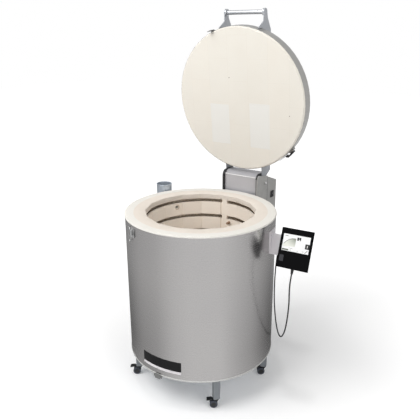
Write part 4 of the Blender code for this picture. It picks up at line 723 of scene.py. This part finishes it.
def skinned(shape, rows, closed=False):
    """Faces between rows of points. A closed run joins its ends, and an open one gets a face at each end."""
    after_each = rows[1:] + rows[:1] if closed else rows[1:]
    for here, there in zip(rows, after_each):
        for index in range(len(here)):
            after = (index + 1) % len(here)
            shape.faces.new((here[index], here[after], there[after], there[index]))
    if not closed:
        shape.faces.new(rows[0])
        shape.faces.new(rows[-1])
    return shape


print("shape helpers are ready")

# %% [markdown]
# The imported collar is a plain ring. On the real kiln the drum's steel runs on up to a thin rounded lip of
# pale fibre. Two turned pieces show that in the collar's own space: the steel's last strip and the lip
# above it.

# %% Rim of the drum
DRUM_RADIUS = 0.375
RIM_TOP = 0.916
STEEL_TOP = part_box("casing")[1][2]
STRIP_TOP = 0.9085
STRIP_INSIDE = 0.3732
LIP_OUTSIDE = 0.3740
LIP_INSIDE = 0.333
LIP_FOOT = 0.9000
LIP_ROUND = 0.0064
strip = [(DRUM_RADIUS, STEEL_TOP), (DRUM_RADIUS, STRIP_TOP), (STRIP_INSIDE, STRIP_TOP),
         (STRIP_INSIDE, STEEL_TOP)]
settle("steel_top_strip", turned(strip, 64), drum_steel, "kiln")
rounding = []
for step in range(-1, 7):
    angle = TURN * step / 24
    rounding.append((0.3712 + LIP_ROUND * math.cos(angle), RIM_TOP - LIP_ROUND + LIP_ROUND * math.sin(angle)))
lip = [(LIP_OUTSIDE, 0.9072), *rounding, (0.3600, 0.9158), (LIP_INSIDE, 0.9152), (LIP_INSIDE, LIP_FOOT),
       (LIP_OUTSIDE, LIP_FOOT)]
pale_lip = settle("pale_lip", turned(lip, 128), rim_fibre, "kiln")
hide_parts("rim_collar")
print("steel ends at", round(STEEL_TOP, 4), "and its strip goes on to", STRIP_TOP, "m")

# %% [markdown]
# Inside the lip lies the top of the brickwork, warmer in colour and with its inner edge worn round. Its
# inner side follows the flat sides of the wall, so each step of the ring reaches as far in as the wall does
# there.

# %% Top of the brickwork
CHAMBER_FLAT = 0.27
RING_STEPS = 128
RING_GAP = 0.0002


def facet_reach(azimuth):
    """How far out the wall stands at an azimuth, as a multiple of the middle of its flat side."""
    half = TURN / (2 * WALL_SIDES)
    return 1 / math.cos((azimuth + half) % (2 * half) - half)


bricks = bmesh.new()
rings = []
for step in range(RING_STEPS):
    azimuth = TURN * step / RING_STEPS
    flat = CHAMBER_FLAT * facet_reach(azimuth)
    section = ((LIP_INSIDE + RING_GAP, STEEL_TOP), (LIP_INSIDE + RING_GAP, 0.9150), (flat + 0.0040, 0.9148),
               (flat + 0.0006, 0.9128), (flat, 0.9100), (flat, STEEL_TOP))
    rings.append([bricks.verts.new((radius * math.sin(azimuth), -radius * math.cos(azimuth), height))
                  for radius, height in section])
skinned(bricks, rings, closed=True)
top_brick = make_finish("top_brick", shade(224, 215, 205), shade(218, 209, 198), (0.88, 0.97), cloud=14,
                        grain=420, raised=0.0002, edge_wear_and_highlight=shade(234, 227, 217), edge_radius=0.002)
settle("top_bricks", bricks, top_brick, "kiln")
print("the ring of top bricks has", RING_STEPS, "steps")

# %% [markdown]
# In each groove lies a heating element: resistance wire wound into a long coil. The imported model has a
# plain rod of the coil's outer size. Here the real winding replaces it: one point runs round the coil while
# the coil runs round the chamber.

# %% Heating coils
COIL_RADIUS = 0.2815
LAND_FROM = math.radians(-170.09)
LAND_TO = math.radians(181.81)
WIRE = 0.0014
WIND = 0.0051
TURNS = 210
POINTS_A_TURN = 7
ROWS = 7
ROW_STEP = 0.0885
TOP_ROW = 0.8758


def coil_points(height):
    """Points along one coil, wound round a line that runs round the chamber at this height."""
    points = []
    total = TURNS * POINTS_A_TURN
    for step in range(total + 1):
        azimuth = LAND_FROM + (LAND_TO - LAND_FROM) * step / total
        angle = TURN * step / POINTS_A_TURN
        reach = COIL_RADIUS + WIND * math.cos(angle)
        points.append((reach * math.sin(azimuth), -reach * math.cos(azimuth), height + WIND * math.sin(angle)))
    return points


for row in range(ROWS):
    route = coil_points(TOP_ROW - ROW_STEP * row)
    coil = round_wire(f"heating_coil_{row + 1}", route, WIRE, oxide_wire, "kiln", 0)
    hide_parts(f"heating_element_{row + 1}")
print(ROWS, "coils of", TURNS, "turns each")

# %% [markdown]
# The lid is heavy, so a torsion spring round the hinge shaft carries most of its weight. It is wound tight
# from thick wire and sits under the cover, open from below.

# %% Lid spring
SPRING_TURNS = 34
SPRING_POINTS = 14 * SPRING_TURNS
SPRING_HALF = 0.088
SPRING_RADIUS = 0.0131
SPRING_WIRE = 0.0024
spring_points = []
for step in range(SPRING_POINTS + 1):
    angle = TURN * SPRING_TURNS * step / SPRING_POINTS
    along = SPRING_HALF * (2 * step / SPRING_POINTS - 1)
    spring_points.append((along, HINGE.y + SPRING_RADIUS * math.cos(angle),
                          HINGE.z + SPRING_RADIUS * math.sin(angle)))
spring = round_wire("wound_spring", spring_points, SPRING_WIRE, zinc, "kiln", 2)
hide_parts("lid_spring")
print("spring wound with", SPRING_TURNS, "turns")

# %% [markdown]
# The controller's front is one sheet of black glass with the screen behind it. Positions on it are easiest
# in the panel's own width and height, so a matrix carries them to where the tilted panel hangs.

# %% The panel's own frame
PANEL_AT = (0.510, 0.015, 0.812)
PANEL_TURN = math.radians(4.3)
PANEL_LEAN = math.radians(-21.8)
PANEL_WIDTH = 0.155
PANEL_HEIGHT = 0.186
ON_PANEL = (ON_KILN @ Matrix.Translation(PANEL_AT) @ Matrix.Rotation(PANEL_TURN, 4, "Z")
            @ Matrix.Rotation(PANEL_LEAN, 4, "X"))


def panel_spot(across, down):
    """A place on the panel from its shares across and down."""
    return ((across - 0.5) * PANEL_WIDTH, (0.5 - down) * PANEL_HEIGHT)


def on_glass(name, outlines, finish, lift=0.00025, thick=0.00015):
    """Flat marks just in front of the panel, each given as shares across and down."""
    shapes = [pushed_out([panel_spot(*point) for point in outline], thick) for outline in outlines]
    shape = moved(gathered(shapes), Matrix.Translation((0, -lift, 0)))
    return settle(name, shape, finish, "kiln", ON_PANEL)


def bar(left, top, right, bottom):
    """The outline of an upright rectangle, in shares of the panel."""
    return ((left, top), (right, top), (right, bottom), (left, bottom))


print("the panel faces", [round(v, 2) for v in (ON_PANEL.to_3x3() @ Vector((0, -1, 0)))])

# %% [markdown]
# The screen shows a firing curve: the temperature climbs, holds and falls. The area under the curve is
# tinted, and the tint fades toward the start of the firing and toward the bottom.

# %% Tint under the curve
curve_fill, tree, shader = shaded_material("curve_fill")
shader.inputs["Roughness"].default_value = 0.22
where = join(tree, "ShaderNodeTexCoord").outputs["Object"]
parts = join(tree, "ShaderNodeSeparateXYZ", {0: where})
start, end, top, low = [ON_PANEL @ Vector((*panel_spot(across, down), 0)).xzy
                        for across, down in ((0.12, 0.4), (0.49, 0.4), (0.3, 0.24), (0.3, 0.47))]
ripple = join(tree, "ShaderNodeTexNoise", {"Vector": where, "Scale": 160.0, "Detail": 2.0}).outputs[0]
later = join(tree, "ShaderNodeMapRange", {
    "Value": parts.outputs[0], "From Min": start.x, "From Max": end.x}).outputs[0]
rise = join(tree, "ShaderNodeMapRange", {
    "Value": parts.outputs[2], "From Min": low.z, "From Max": top.z}).outputs[0]
share = number(tree, "MULTIPLY_ADD", ripple, 0.12, number(tree, "MULTIPLY", later, rise), clamp=True)
tinted = blend_colours(tree, share, shade(236, 237, 228), shade(118, 124, 110))
tree.links.new(tinted, shader.inputs["Base Color"])
print("the tint spans", round((end.x - start.x) * 1000), "mm of the screen")

# %% [markdown]
# The curve itself is a ribbon of four-sided pieces, one from each corner of the curve to the next, over a
# flat area that carries the tint. Both lie a fraction of a millimetre in front of the glass.

# %% Firing curve on the screen
RIBBON = 0.016
OVER_MARKS = 0.0004


def ink(name, first, second, rough=0.3):
    """A printed or lit colour of the screen."""
    return make_finish(name, first, second, (rough, rough + 0.08), cloud=90, grain=600, raised=0.000002,
                       edge_radius=0.0002)


grey_ink = ink("grey_ink", shade(112, 117, 106), shade(96, 102, 90))
curve = ((0.125, 0.395), (0.20, 0.325), (0.28, 0.275), (0.36, 0.245), (0.485, 0.235))
on_glass("curve_area", [curve + ((0.485, 0.44), (0.125, 0.47))], curve_fill)
ribbon = [((a, b), (c, d), (c, d + RIBBON), (a, b + RIBBON)) for (a, b), (c, d) in zip(curve, curve[1:])]
on_glass("curve_line", ribbon, grey_ink, OVER_MARKS)
print("firing curve drawn with", len(curve), "corners")

# %% [markdown]
# Beside the curve stand plain digits. Each is made from the seven bars of a pocket calculator, of which the
# digits shown here light five and four.

# %% Digits
SEGMENTS = {"2": "abged", "4": "fgbc"}
DIGIT_LEFT, DIGIT_TOP = 0.520, 0.198
DIGIT_WIDE, DIGIT_TALL, DIGIT_BAR = 0.052, 0.078, 0.026
DIGIT_STEP = 0.062


def digit_bars(digit, left, top, wide, tall, thick):
    """The lit bars of one digit, in shares of the panel."""
    middle = top + tall / 2
    places = {
        "a": bar(left, top, left + wide, top + thick),
        "g": bar(left, middle - thick / 2, left + wide, middle + thick / 2),
        "d": bar(left, top + tall - thick, left + wide, top + tall),
        "f": bar(left, top, left + thick, middle),
        "b": bar(left + wide - thick, top, left + wide, middle),
        "e": bar(left, middle, left + thick, top + tall),
        "c": bar(left + wide - thick, middle, left + wide, top + tall),
    }
    return [places[segment] for segment in SEGMENTS[digit]]


black_ink = ink("black_ink", shade(10, 10, 10), shade(16, 16, 16))
digits = []
for index, digit in enumerate("24"):
    digits += digit_bars(digit, DIGIT_LEFT + DIGIT_STEP * index, DIGIT_TOP, DIGIT_WIDE, DIGIT_TALL, DIGIT_BAR)
on_glass("screen_digits", digits, black_ink)
print(len(digits), "digit bars lit")

# %% [markdown]
# A touch screen has keys to press. Here they are a black key with one pale bar, a pen, and thin bars where
# a real screen has its menu. They carry no words.

# %% Key, menu bars and pen
on_glass("stop_key", [bar(0.792, 0.325, 0.924, 0.448)], black_ink)
white_ink = ink("white_ink", shade(228, 228, 224), shade(214, 214, 210))
on_glass("stop_sign", [bar(0.846, 0.358, 0.870, 0.415)], white_ink, OVER_MARKS)
menu = [bar(0.10, 0.520, 0.30, 0.556), bar(0.345, 0.528, 0.375, 0.545), bar(0.57, 0.528, 0.585, 0.552)]
menu += [bar(0.135, 0.190, 0.23, 0.203), bar(0.30, 0.487, 0.42, 0.493), bar(0.72, 0.520, 0.77, 0.530)]
on_glass("menu_bars", menu, grey_ink)
on_glass("pen_sign", [((0.80, 0.552), (0.812, 0.556), (0.875, 0.496), (0.865, 0.488)),
                      ((0.850, 0.486), (0.885, 0.482), (0.882, 0.510), (0.872, 0.492))], black_ink)
print(len(menu), "menu bars, a key and a pen drawn")

# %% [markdown]
# What sits on the drum or the lid's band is bent to it. Three helpers serve for that: a spot round the kiln
# from its azimuth in degrees, the direction straight out there, and a bar bent round the axis. Zero degrees
# faces the front.

# %% Spots and bars round the kiln
def round_spot(degrees, radius, height):
    """A place from its azimuth, its distance from the axis and its height."""
    azimuth = math.radians(degrees)
    return Vector((radius * math.sin(azimuth), -radius * math.cos(azimuth), height))


def outward(degrees):
    """The level direction away from the axis."""
    return round_spot(degrees, 1.0, 0.0)


def bent_bar(first, last, low, high, inner, outer, steps):
    """A bar bent round the axis between two azimuths in degrees, two heights and two radii."""
    shape = bmesh.new()
    rows = []
    for step in range(steps + 1):
        azimuth = first + (last - first) * step / steps
        rows.append([shape.verts.new(round_spot(azimuth, *corner))
                     for corner in ((inner, low), (inner, high), (outer, high), (outer, low))])
    return skinned(shape, rows)


print("the drum's front is at", [round(v, 3) for v in round_spot(0, DRUM_RADIUS, 0)])

# %% [markdown]
# A plain black plate with a pale strip under it sits low on the drum's front. It is a thin sheet bent to
# the drum, a millimetre thick, and its edges are rounded a little so that they catch the light.

# %% Bare plate on the drum
PLATE_FROM, PLATE_TO = -14.6, 19.4
PLATE_GAP = 0.0002
PLATE_ROUND = 0.0004


def drum_patch(name, first, last, low, high, finish, thick=0.0010, steps=18):
    """A thin plate on the drum between two azimuths in degrees and two heights."""
    inner = DRUM_RADIUS + PLATE_GAP
    shape = bent_bar(first, last, low, high, inner, inner + thick, steps)
    settle(name, shape, finish, "kiln", ON_KILN, PLATE_ROUND)


drum_patch("bare_plate", PLATE_FROM, PLATE_TO, 0.2185, 0.2690, plate_black)
drum_patch("plate_strip", PLATE_FROM, PLATE_TO, 0.2040, 0.2180, light_sheet, thick=0.0006)
print("plate bent over", PLATE_TO - PLATE_FROM, "degrees of the drum")

# %% [markdown]
# The drum's sheet ends in a rolled bead at the bottom, and where its two ends meet at the back a strip
# covers the seam. The bead catches the light as a pale line above the dark gap under the kiln.

# %% Rolled bead and back seam
SEAM = 150
SEAM_HALF = 1.8
bead = [(0.3745, 0.1685), (0.3764, 0.1695), (0.3770, 0.1725), (0.3764, 0.1755), (0.3745, 0.1765)]
settle("rolled_bead", turned(bead, 128), bead_steel, "kiln")
drum_patch("seam_strip", SEAM - SEAM_HALF, SEAM + SEAM_HALF, 0.178, 0.905, drum_steel, steps=3)
print("bead and seam strip added")

# %% [markdown]
# Screws are modelled once: a domed head with a cross cut into it by a Boolean. The mesh is then copied to
# each place, turned so that it faces the right way, and all the screws of one body become one piece.

# %% One screw
def screw_master(radius):
    """The mesh of a domed head with a cross cut into it."""
    dome = turned([(0, 0), (radius, 0), (radius * 0.98, radius * 0.28), (radius * 0.7, radius * 0.5),
                   (0, radius * 0.58)], 20)
    mesh = bpy.data.meshes.new("screw_dome")
    dome.to_mesh(mesh)
    dome.free()
    head = add_object("screw_dome", mesh)
    upright = Matrix.Rotation(TURN / 4, 4, "X") @ Matrix.Translation((0, -radius * 1.25, 0))
    long, short = radius * 0.6, radius * 0.13
    cross = gathered([moved(pushed_out(((-a, -b), (a, -b), (a, b), (-a, b)), radius), upright)
                      for a, b in ((long, short), (short, long))])
    bmesh.ops.recalc_face_normals(cross, faces=cross.faces)
    cut_mesh = bpy.data.meshes.new("cross_cut")
    cross.to_mesh(cut_mesh)
    cross.free()
    cut = add_object("cross_cut", cut_mesh)
    step = head.modifiers.new("cross", "BOOLEAN")
    step.operation = "DIFFERENCE"
    step.object = cut
    step.solver = "EXACT"
    step.use_self = True
    bpy.context.view_layer.update()
    done = bpy.data.meshes.new_from_object(head.evaluated_get(bpy.context.evaluated_depsgraph_get()))
    for thing in (head, cut):
        bpy.data.objects.remove(thing)
    return done


small_screw = screw_master(0.0030)
print("one screw has", len(small_screw.polygons), "faces")

# %% [markdown]
# The box's back cover, the bracket's foot, the seam strip and the left cheek are held by such screws. On
# the seam they stand in a row, as a sheet worker would set them.

# %% Screws of the box, the seam and the bracket
def screws(name, spots, body, place=ON_KILN, size=1.0):
    """Copies of the screw at (place, direction) spots, gathered into one piece."""
    whole = bmesh.new()
    for where, facing in spots:
        turn = Vector(facing).to_track_quat("Z", "Y").to_matrix().to_4x4()
        copy = small_screw.copy()
        copy.transform(Matrix.Translation(where) @ turn @ Matrix.Scale(size, 4))
        whole.from_mesh(copy)
        bpy.data.meshes.remove(copy)
    return settle(name, whole, zinc, body, place)


cover_spots = [((x, 0.5901, z), (0, 1, 0)) for x in (-0.108, 0.108) for z in (0.40, 0.575, 0.75, 0.925)]
screws("cover_screws", cover_spots, "kiln")
seam_spots = [(round_spot(SEAM, 0.3762, 0.2 + 0.0836 * k), outward(SEAM)) for k in range(9)]
screws("seam_screws", seam_spots, "kiln")
foot_spots = [(round_spot(a, 0.3781, z), outward(a)) for a in (95.6, 102.4) for z in (0.785, 0.845)]
screws("foot_screws", foot_spots, "kiln", size=1.2)
cheek_spots = [((-0.1211, 0.44, z), (-1, 0, 0)) for z in (0.66, 0.74, 0.90)]
screws("left_cheek_screws", cheek_spots, "kiln")
print(len(cover_spots + seam_spots + foot_spots + cheek_spots), "screws set")

# %% [markdown]
# The lid's band is drawn tight by a toggle on the right. Its lever lies over the clamp, and a thin strap
# runs from it along the band. Both are drawn with the lid shut and carried up with it.

# %% Toggle on the lid's band
toggle = gathered([
    bent_bar(129.2, 136.4, 0.9390, 0.9610, 0.3845, 0.3925, 8),
    bent_bar(131.0, 134.0, 0.9335, 0.9670, 0.3850, 0.3900, 8),
    bent_bar(136.4, 144.5, 0.9450, 0.9550, 0.3765, 0.3785, 8),
    bent_bar(135.6, 137.6, 0.9420, 0.9580, 0.3770, 0.3860, 8),
])
settle("band_toggle", toggle, black_plastic, "lid", ON_LID, 0.0006)
rivet_spots = [(round_spot(a, 0.3923, 0.9500), outward(a)) for a in (130.3, 135.2)]
screws("toggle_rivets", rivet_spots, "lid", ON_LID, 0.7)
print("toggle and strap lie on the lid's band")

# %% [markdown]
# Two pins end flush in the lid's face. Beside the latch hangs a bright wire loop. Its corners are places
# round the drum, and the smooth curve through them is closed by coming back to the first.

# %% Pins in the lid and wire loop
PIN_LEVEL = 0.9165
pin = [(0, -0.0003), (0.0022, -0.0002), (0.0026, 0.0004), (0, 0.0004)]
pins = [moved(turned(pin, 16), Matrix.Translation((x, y, PIN_LEVEL)))
        for x, y in ((-0.052, -0.119), (0.291, 0.056))]
settle("lid_pins", gathered(pins), oxide_wire, "lid", ON_LID)
loop = [round_spot(azimuth, 0.3810, height) for azimuth, height in (
    (-25.4, 0.884), (-26.6, 0.891), (-28.4, 0.891), (-29.2, 0.884), (-28.6, 0.850),
    (-27.4, 0.826), (-26.2, 0.822), (-25.2, 0.828), (-25.0, 0.850), (-25.2, 0.872))]
wire_loop = round_wire("latch_loop", curve_through(loop + loop[:1], 60), 0.0016, zinc, "kiln", 2)
print(len(pins), "pins and a wire loop drawn")

# %% [markdown]
# The hinge cover has two small details of sheet work: a grey flange in front of the right end cap, and a
# fold along its top. The fold's bright line is a painted highlight, a thin white strip.

# %% Flange of the hinge cover and painted highlight of its fold
flange = pushed_out(((0.1006, 0.862), (0.1103, 0.862), (0.1103, 0.998), (0.1006, 0.998)), 0.0010)
flange = moved(flange, Matrix.Translation((0, 0.3765, 0)))
settle("cap_flange", flange, keeper_grey, "kiln", ON_KILN, 0.0003)
# A thin white strip along the crease is the fold's painted highlight.
fold_highlight_strip = pushed_out(((-0.0995, 1.0010), (0.0995, 1.0010), (0.0995, 1.0052), (-0.0995, 1.0052)), 0.0012)
fold_highlight_strip = moved(fold_highlight_strip, Matrix.Translation((0, 0.3888, 0)))
fold_painted_highlight = make_finish("fold_painted_highlight", shade(244, 244, 245), shade(236, 236, 237), (0.4, 0.5), cloud=40)
settle("cover_fold_highlight", fold_highlight_strip, fold_painted_highlight, "kiln", ON_KILN, 0.0002)
print("flange and fold line drawn")

# %% [markdown]
# On the right side the cheek ends at the switch box in a narrow gap. Its shade is painted on as a thin black
# strip. A flat bar on that side is drawn from its reach in depth and height, and a turned matrix lays it on.

# %% Painted shade in the cheek gap
ON_SIDE = ON_KILN @ Matrix.Rotation(TURN / 4, 4, "Z")


def side_sheet(y_from, y_to, z_from, z_to, x, thick):
    """A flat bar on the kiln's right side, x being its inner face."""
    outline = ((y_from, z_from), (y_to, z_from), (y_to, z_to), (y_from, z_to))
    return moved(pushed_out(outline, thick), Matrix.Translation((0, -x - thick, 0)))


# A black strip stands in for the shade in the gap.
cheek_gap_painted_shade = side_sheet(0.4812, 0.4828, 0.622, 0.992, 0.12105, 0.0003)
settle("cheek_gap_painted_shade", cheek_gap_painted_shade, plate_black, "kiln", ON_SIDE)
print("the gap runs beside the cheek")

# %% [markdown]
# The hinge bolt has its head painted pale as a highlight, on a black ring that is painted shade under it.
# Both are turned about the hinge's own axis.

# %% Painted shade ring and painted highlight cap of the hinge bolt
along_x = ON_KILN @ Matrix.Translation(HINGE) @ Matrix.Rotation(TURN / 4, 4, "Y")
# A black ring stands in for the shade under the bolt's head.
shade_ring_profile = [(0, 0.1211), (0.0092, 0.1211), (0.0092, 0.1219), (0, 0.1219)]
settle("bolt_shade_ring", turned(shade_ring_profile, 32), black_plastic, "kiln", along_x)
# The head is painted pale as its highlight.
dome = [(0, 0.1270), (0.0062, 0.1270), (0.0058, 0.1281), (0.0036, 0.1289), (0, 0.1292)]
settle("bolt_highlight_cap", turned(dome, 32), light_sheet, "kiln", along_x)
print("washer and cap set on the hinge bolt")

# %% [markdown]
# Two small things are handled: the rocker, with its mark, and the air slide, whose handle has a tab to pull
# it by. Each rides on its own body, so it moves with it.

# %% Rocker mark and slide tab
rocker_mark = side_sheet(0.5370, 0.5412, 0.8830, 0.8866, 0.1272, 0.0005)
settle("rocker_mark", rocker_mark, key_grey, "switch_rocker", ON_SIDE)
tab = pushed_out(((-0.016, 0.1500), (0.016, 0.1500), (0.018, 0.1700), (0.014, 0.1780), (-0.014, 0.1780),
                  (-0.018, 0.1700)), 0.0026)
tab = moved(tab, Matrix.Translation((0, -0.3805, 0)))
settle("slide_tab", tab, slide_grey, "air_slide", ON_KILN, 0.0006)
print("mark and tab drawn")

# %% [markdown]
# Inside the chamber the vent's hole has a pale ring round it, and the probe that measures the heat ends in
# a brown ceramic sheath.

# %% Sheath of the probe and ring of the vent hole
PROBE_DOWN = 0.151
VENT_DOWN = 0.068
VENT_AZIMUTH = -117
lay_down = Matrix.Rotation(-TURN / 4, 4, "X")
sheath = [(0, 0.2440), (0.0045, 0.2440), (0.0068, 0.2470), (0.0068, 0.2697), (0.0042, 0.2697), (0.0042, 0.2600),
          (0, 0.2600)]
at_probe = ON_KILN @ Matrix.Translation((0.004, 0, RIM_TOP - PROBE_DOWN)) @ lay_down
settle("probe_sheath", turned(sheath, 24), probe_ceramic, "kiln", at_probe)
toward_vent = Matrix.Rotation(math.radians(VENT_AZIMUTH), 4, "Z")
at_vent = ON_KILN @ toward_vent @ Matrix.Translation((0, 0, RIM_TOP - VENT_DOWN)) @ lay_down
ring_at = -CHAMBER_FLAT * facet_reach(math.radians(VENT_AZIMUTH))
ring = [(0.0112, ring_at + 0.0006), (0.0140, ring_at + 0.0006), (0.0150, ring_at - 0.0004),
        (0.0115, ring_at - 0.0140), (0.0074, ring_at - 0.0140)]
funnel = make_finish("funnel_fibre", shade(214, 196, 174), shade(200, 180, 156), (0.85, 0.95), cloud=60,
                     grain=500)
settle("vent_ring", turned(ring, 32), funnel, "kiln", at_vent)
print("ring round the vent hole stands", round(-ring_at, 4), "m from the axis")

# %% [markdown]
# The vent pipe's mouth is rolled outward, which stiffens it and gives it the pale rim in the photograph.

# %% Rolled mouth of the vent
MOUTH_RADIUS = 0.0420
ROLL_RADIUS = 0.0018
mouth = round_spot(VENT_AZIMUTH, 0.430, 0.9440)
roll = [(MOUTH_RADIUS + ROLL_RADIUS * math.cos(TURN * k / 10), ROLL_RADIUS * math.sin(TURN * k / 10))
        for k in range(10)]
settle("vent_mouth", turned(roll, 48), pipe_steel, "kiln", ON_KILN @ Matrix.Translation(mouth))
print("vent mouth is", 2000 * MOUTH_RADIUS, "mm across")

# %% [markdown]
# Each caster has two wheels on one axle. A wheel's tread is crowned and its face is dished, with a hub cap
# in the middle. The turned profile replaces the plainer solid, on the same axle.

# %% Caster wheels
CASTER_HEADING = math.radians(214.5)
CASTER_REACH = 0.340
LEG_AZIMUTHS = {"front_left": -46.5, "front_right": 46.5, "rear_left": -112.5, "rear_right": 112.5}
AXLE_BEHIND = 0.013
AXLE_HEIGHT = 0.020
HUB_HEIGHT = 0.0160
half_wheel = [
    (0.0000, 0.0148), (0.0030, 0.0148), (0.0040, 0.0140), (0.0085, 0.0132), (0.0095, 0.0138), (0.0128, 0.0148),
    (0.0150, 0.0150), (0.0178, 0.0155), (0.0192, 0.0150), (0.0199, 0.0136), (0.0200, 0.0105), (0.0199, 0.0072),
    (0.0192, 0.0054), (0.0180, 0.0048), (0.0030, 0.0048),
]
wheel_profile = half_wheel + [(r, -h) for r, h in reversed(half_wheel)]


def on_axle(place):
    """The matrix that lays a turned shape on the axle of one caster."""
    spot = round_spot(LEG_AZIMUTHS[place], CASTER_REACH, 0)
    return (ON_KILN @ Matrix.Translation(spot) @ Matrix.Rotation(CASTER_HEADING, 4, "Z")
            @ Matrix.Translation((AXLE_BEHIND, 0, AXLE_HEIGHT)) @ Matrix.Rotation(-TURN / 4, 4, "X"))


for place in PLACES:
    wheels = f"{place}_caster_wheels"
    axle = on_axle(place)
    pair = settle(f"{place}_wheel_pair", turned(wheel_profile, 40), tread_rubber, wheels, axle)
    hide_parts(wheels)
    hubs = [turned([(0, h), (0.0040, h), (0.0052, h * 0.97), (0.0120, h * 0.99), (0.0128, h * 0.94),
                    (0, h * 0.9)], 32) for h in (HUB_HEIGHT, -HUB_HEIGHT)]
    settle(f"{place}_hub_discs", gathered(hubs), black_plastic, wheels, axle)
print("four wheel pairs, each", round(2000 * max(h for r, h in half_wheel)), "mm over both wheels")
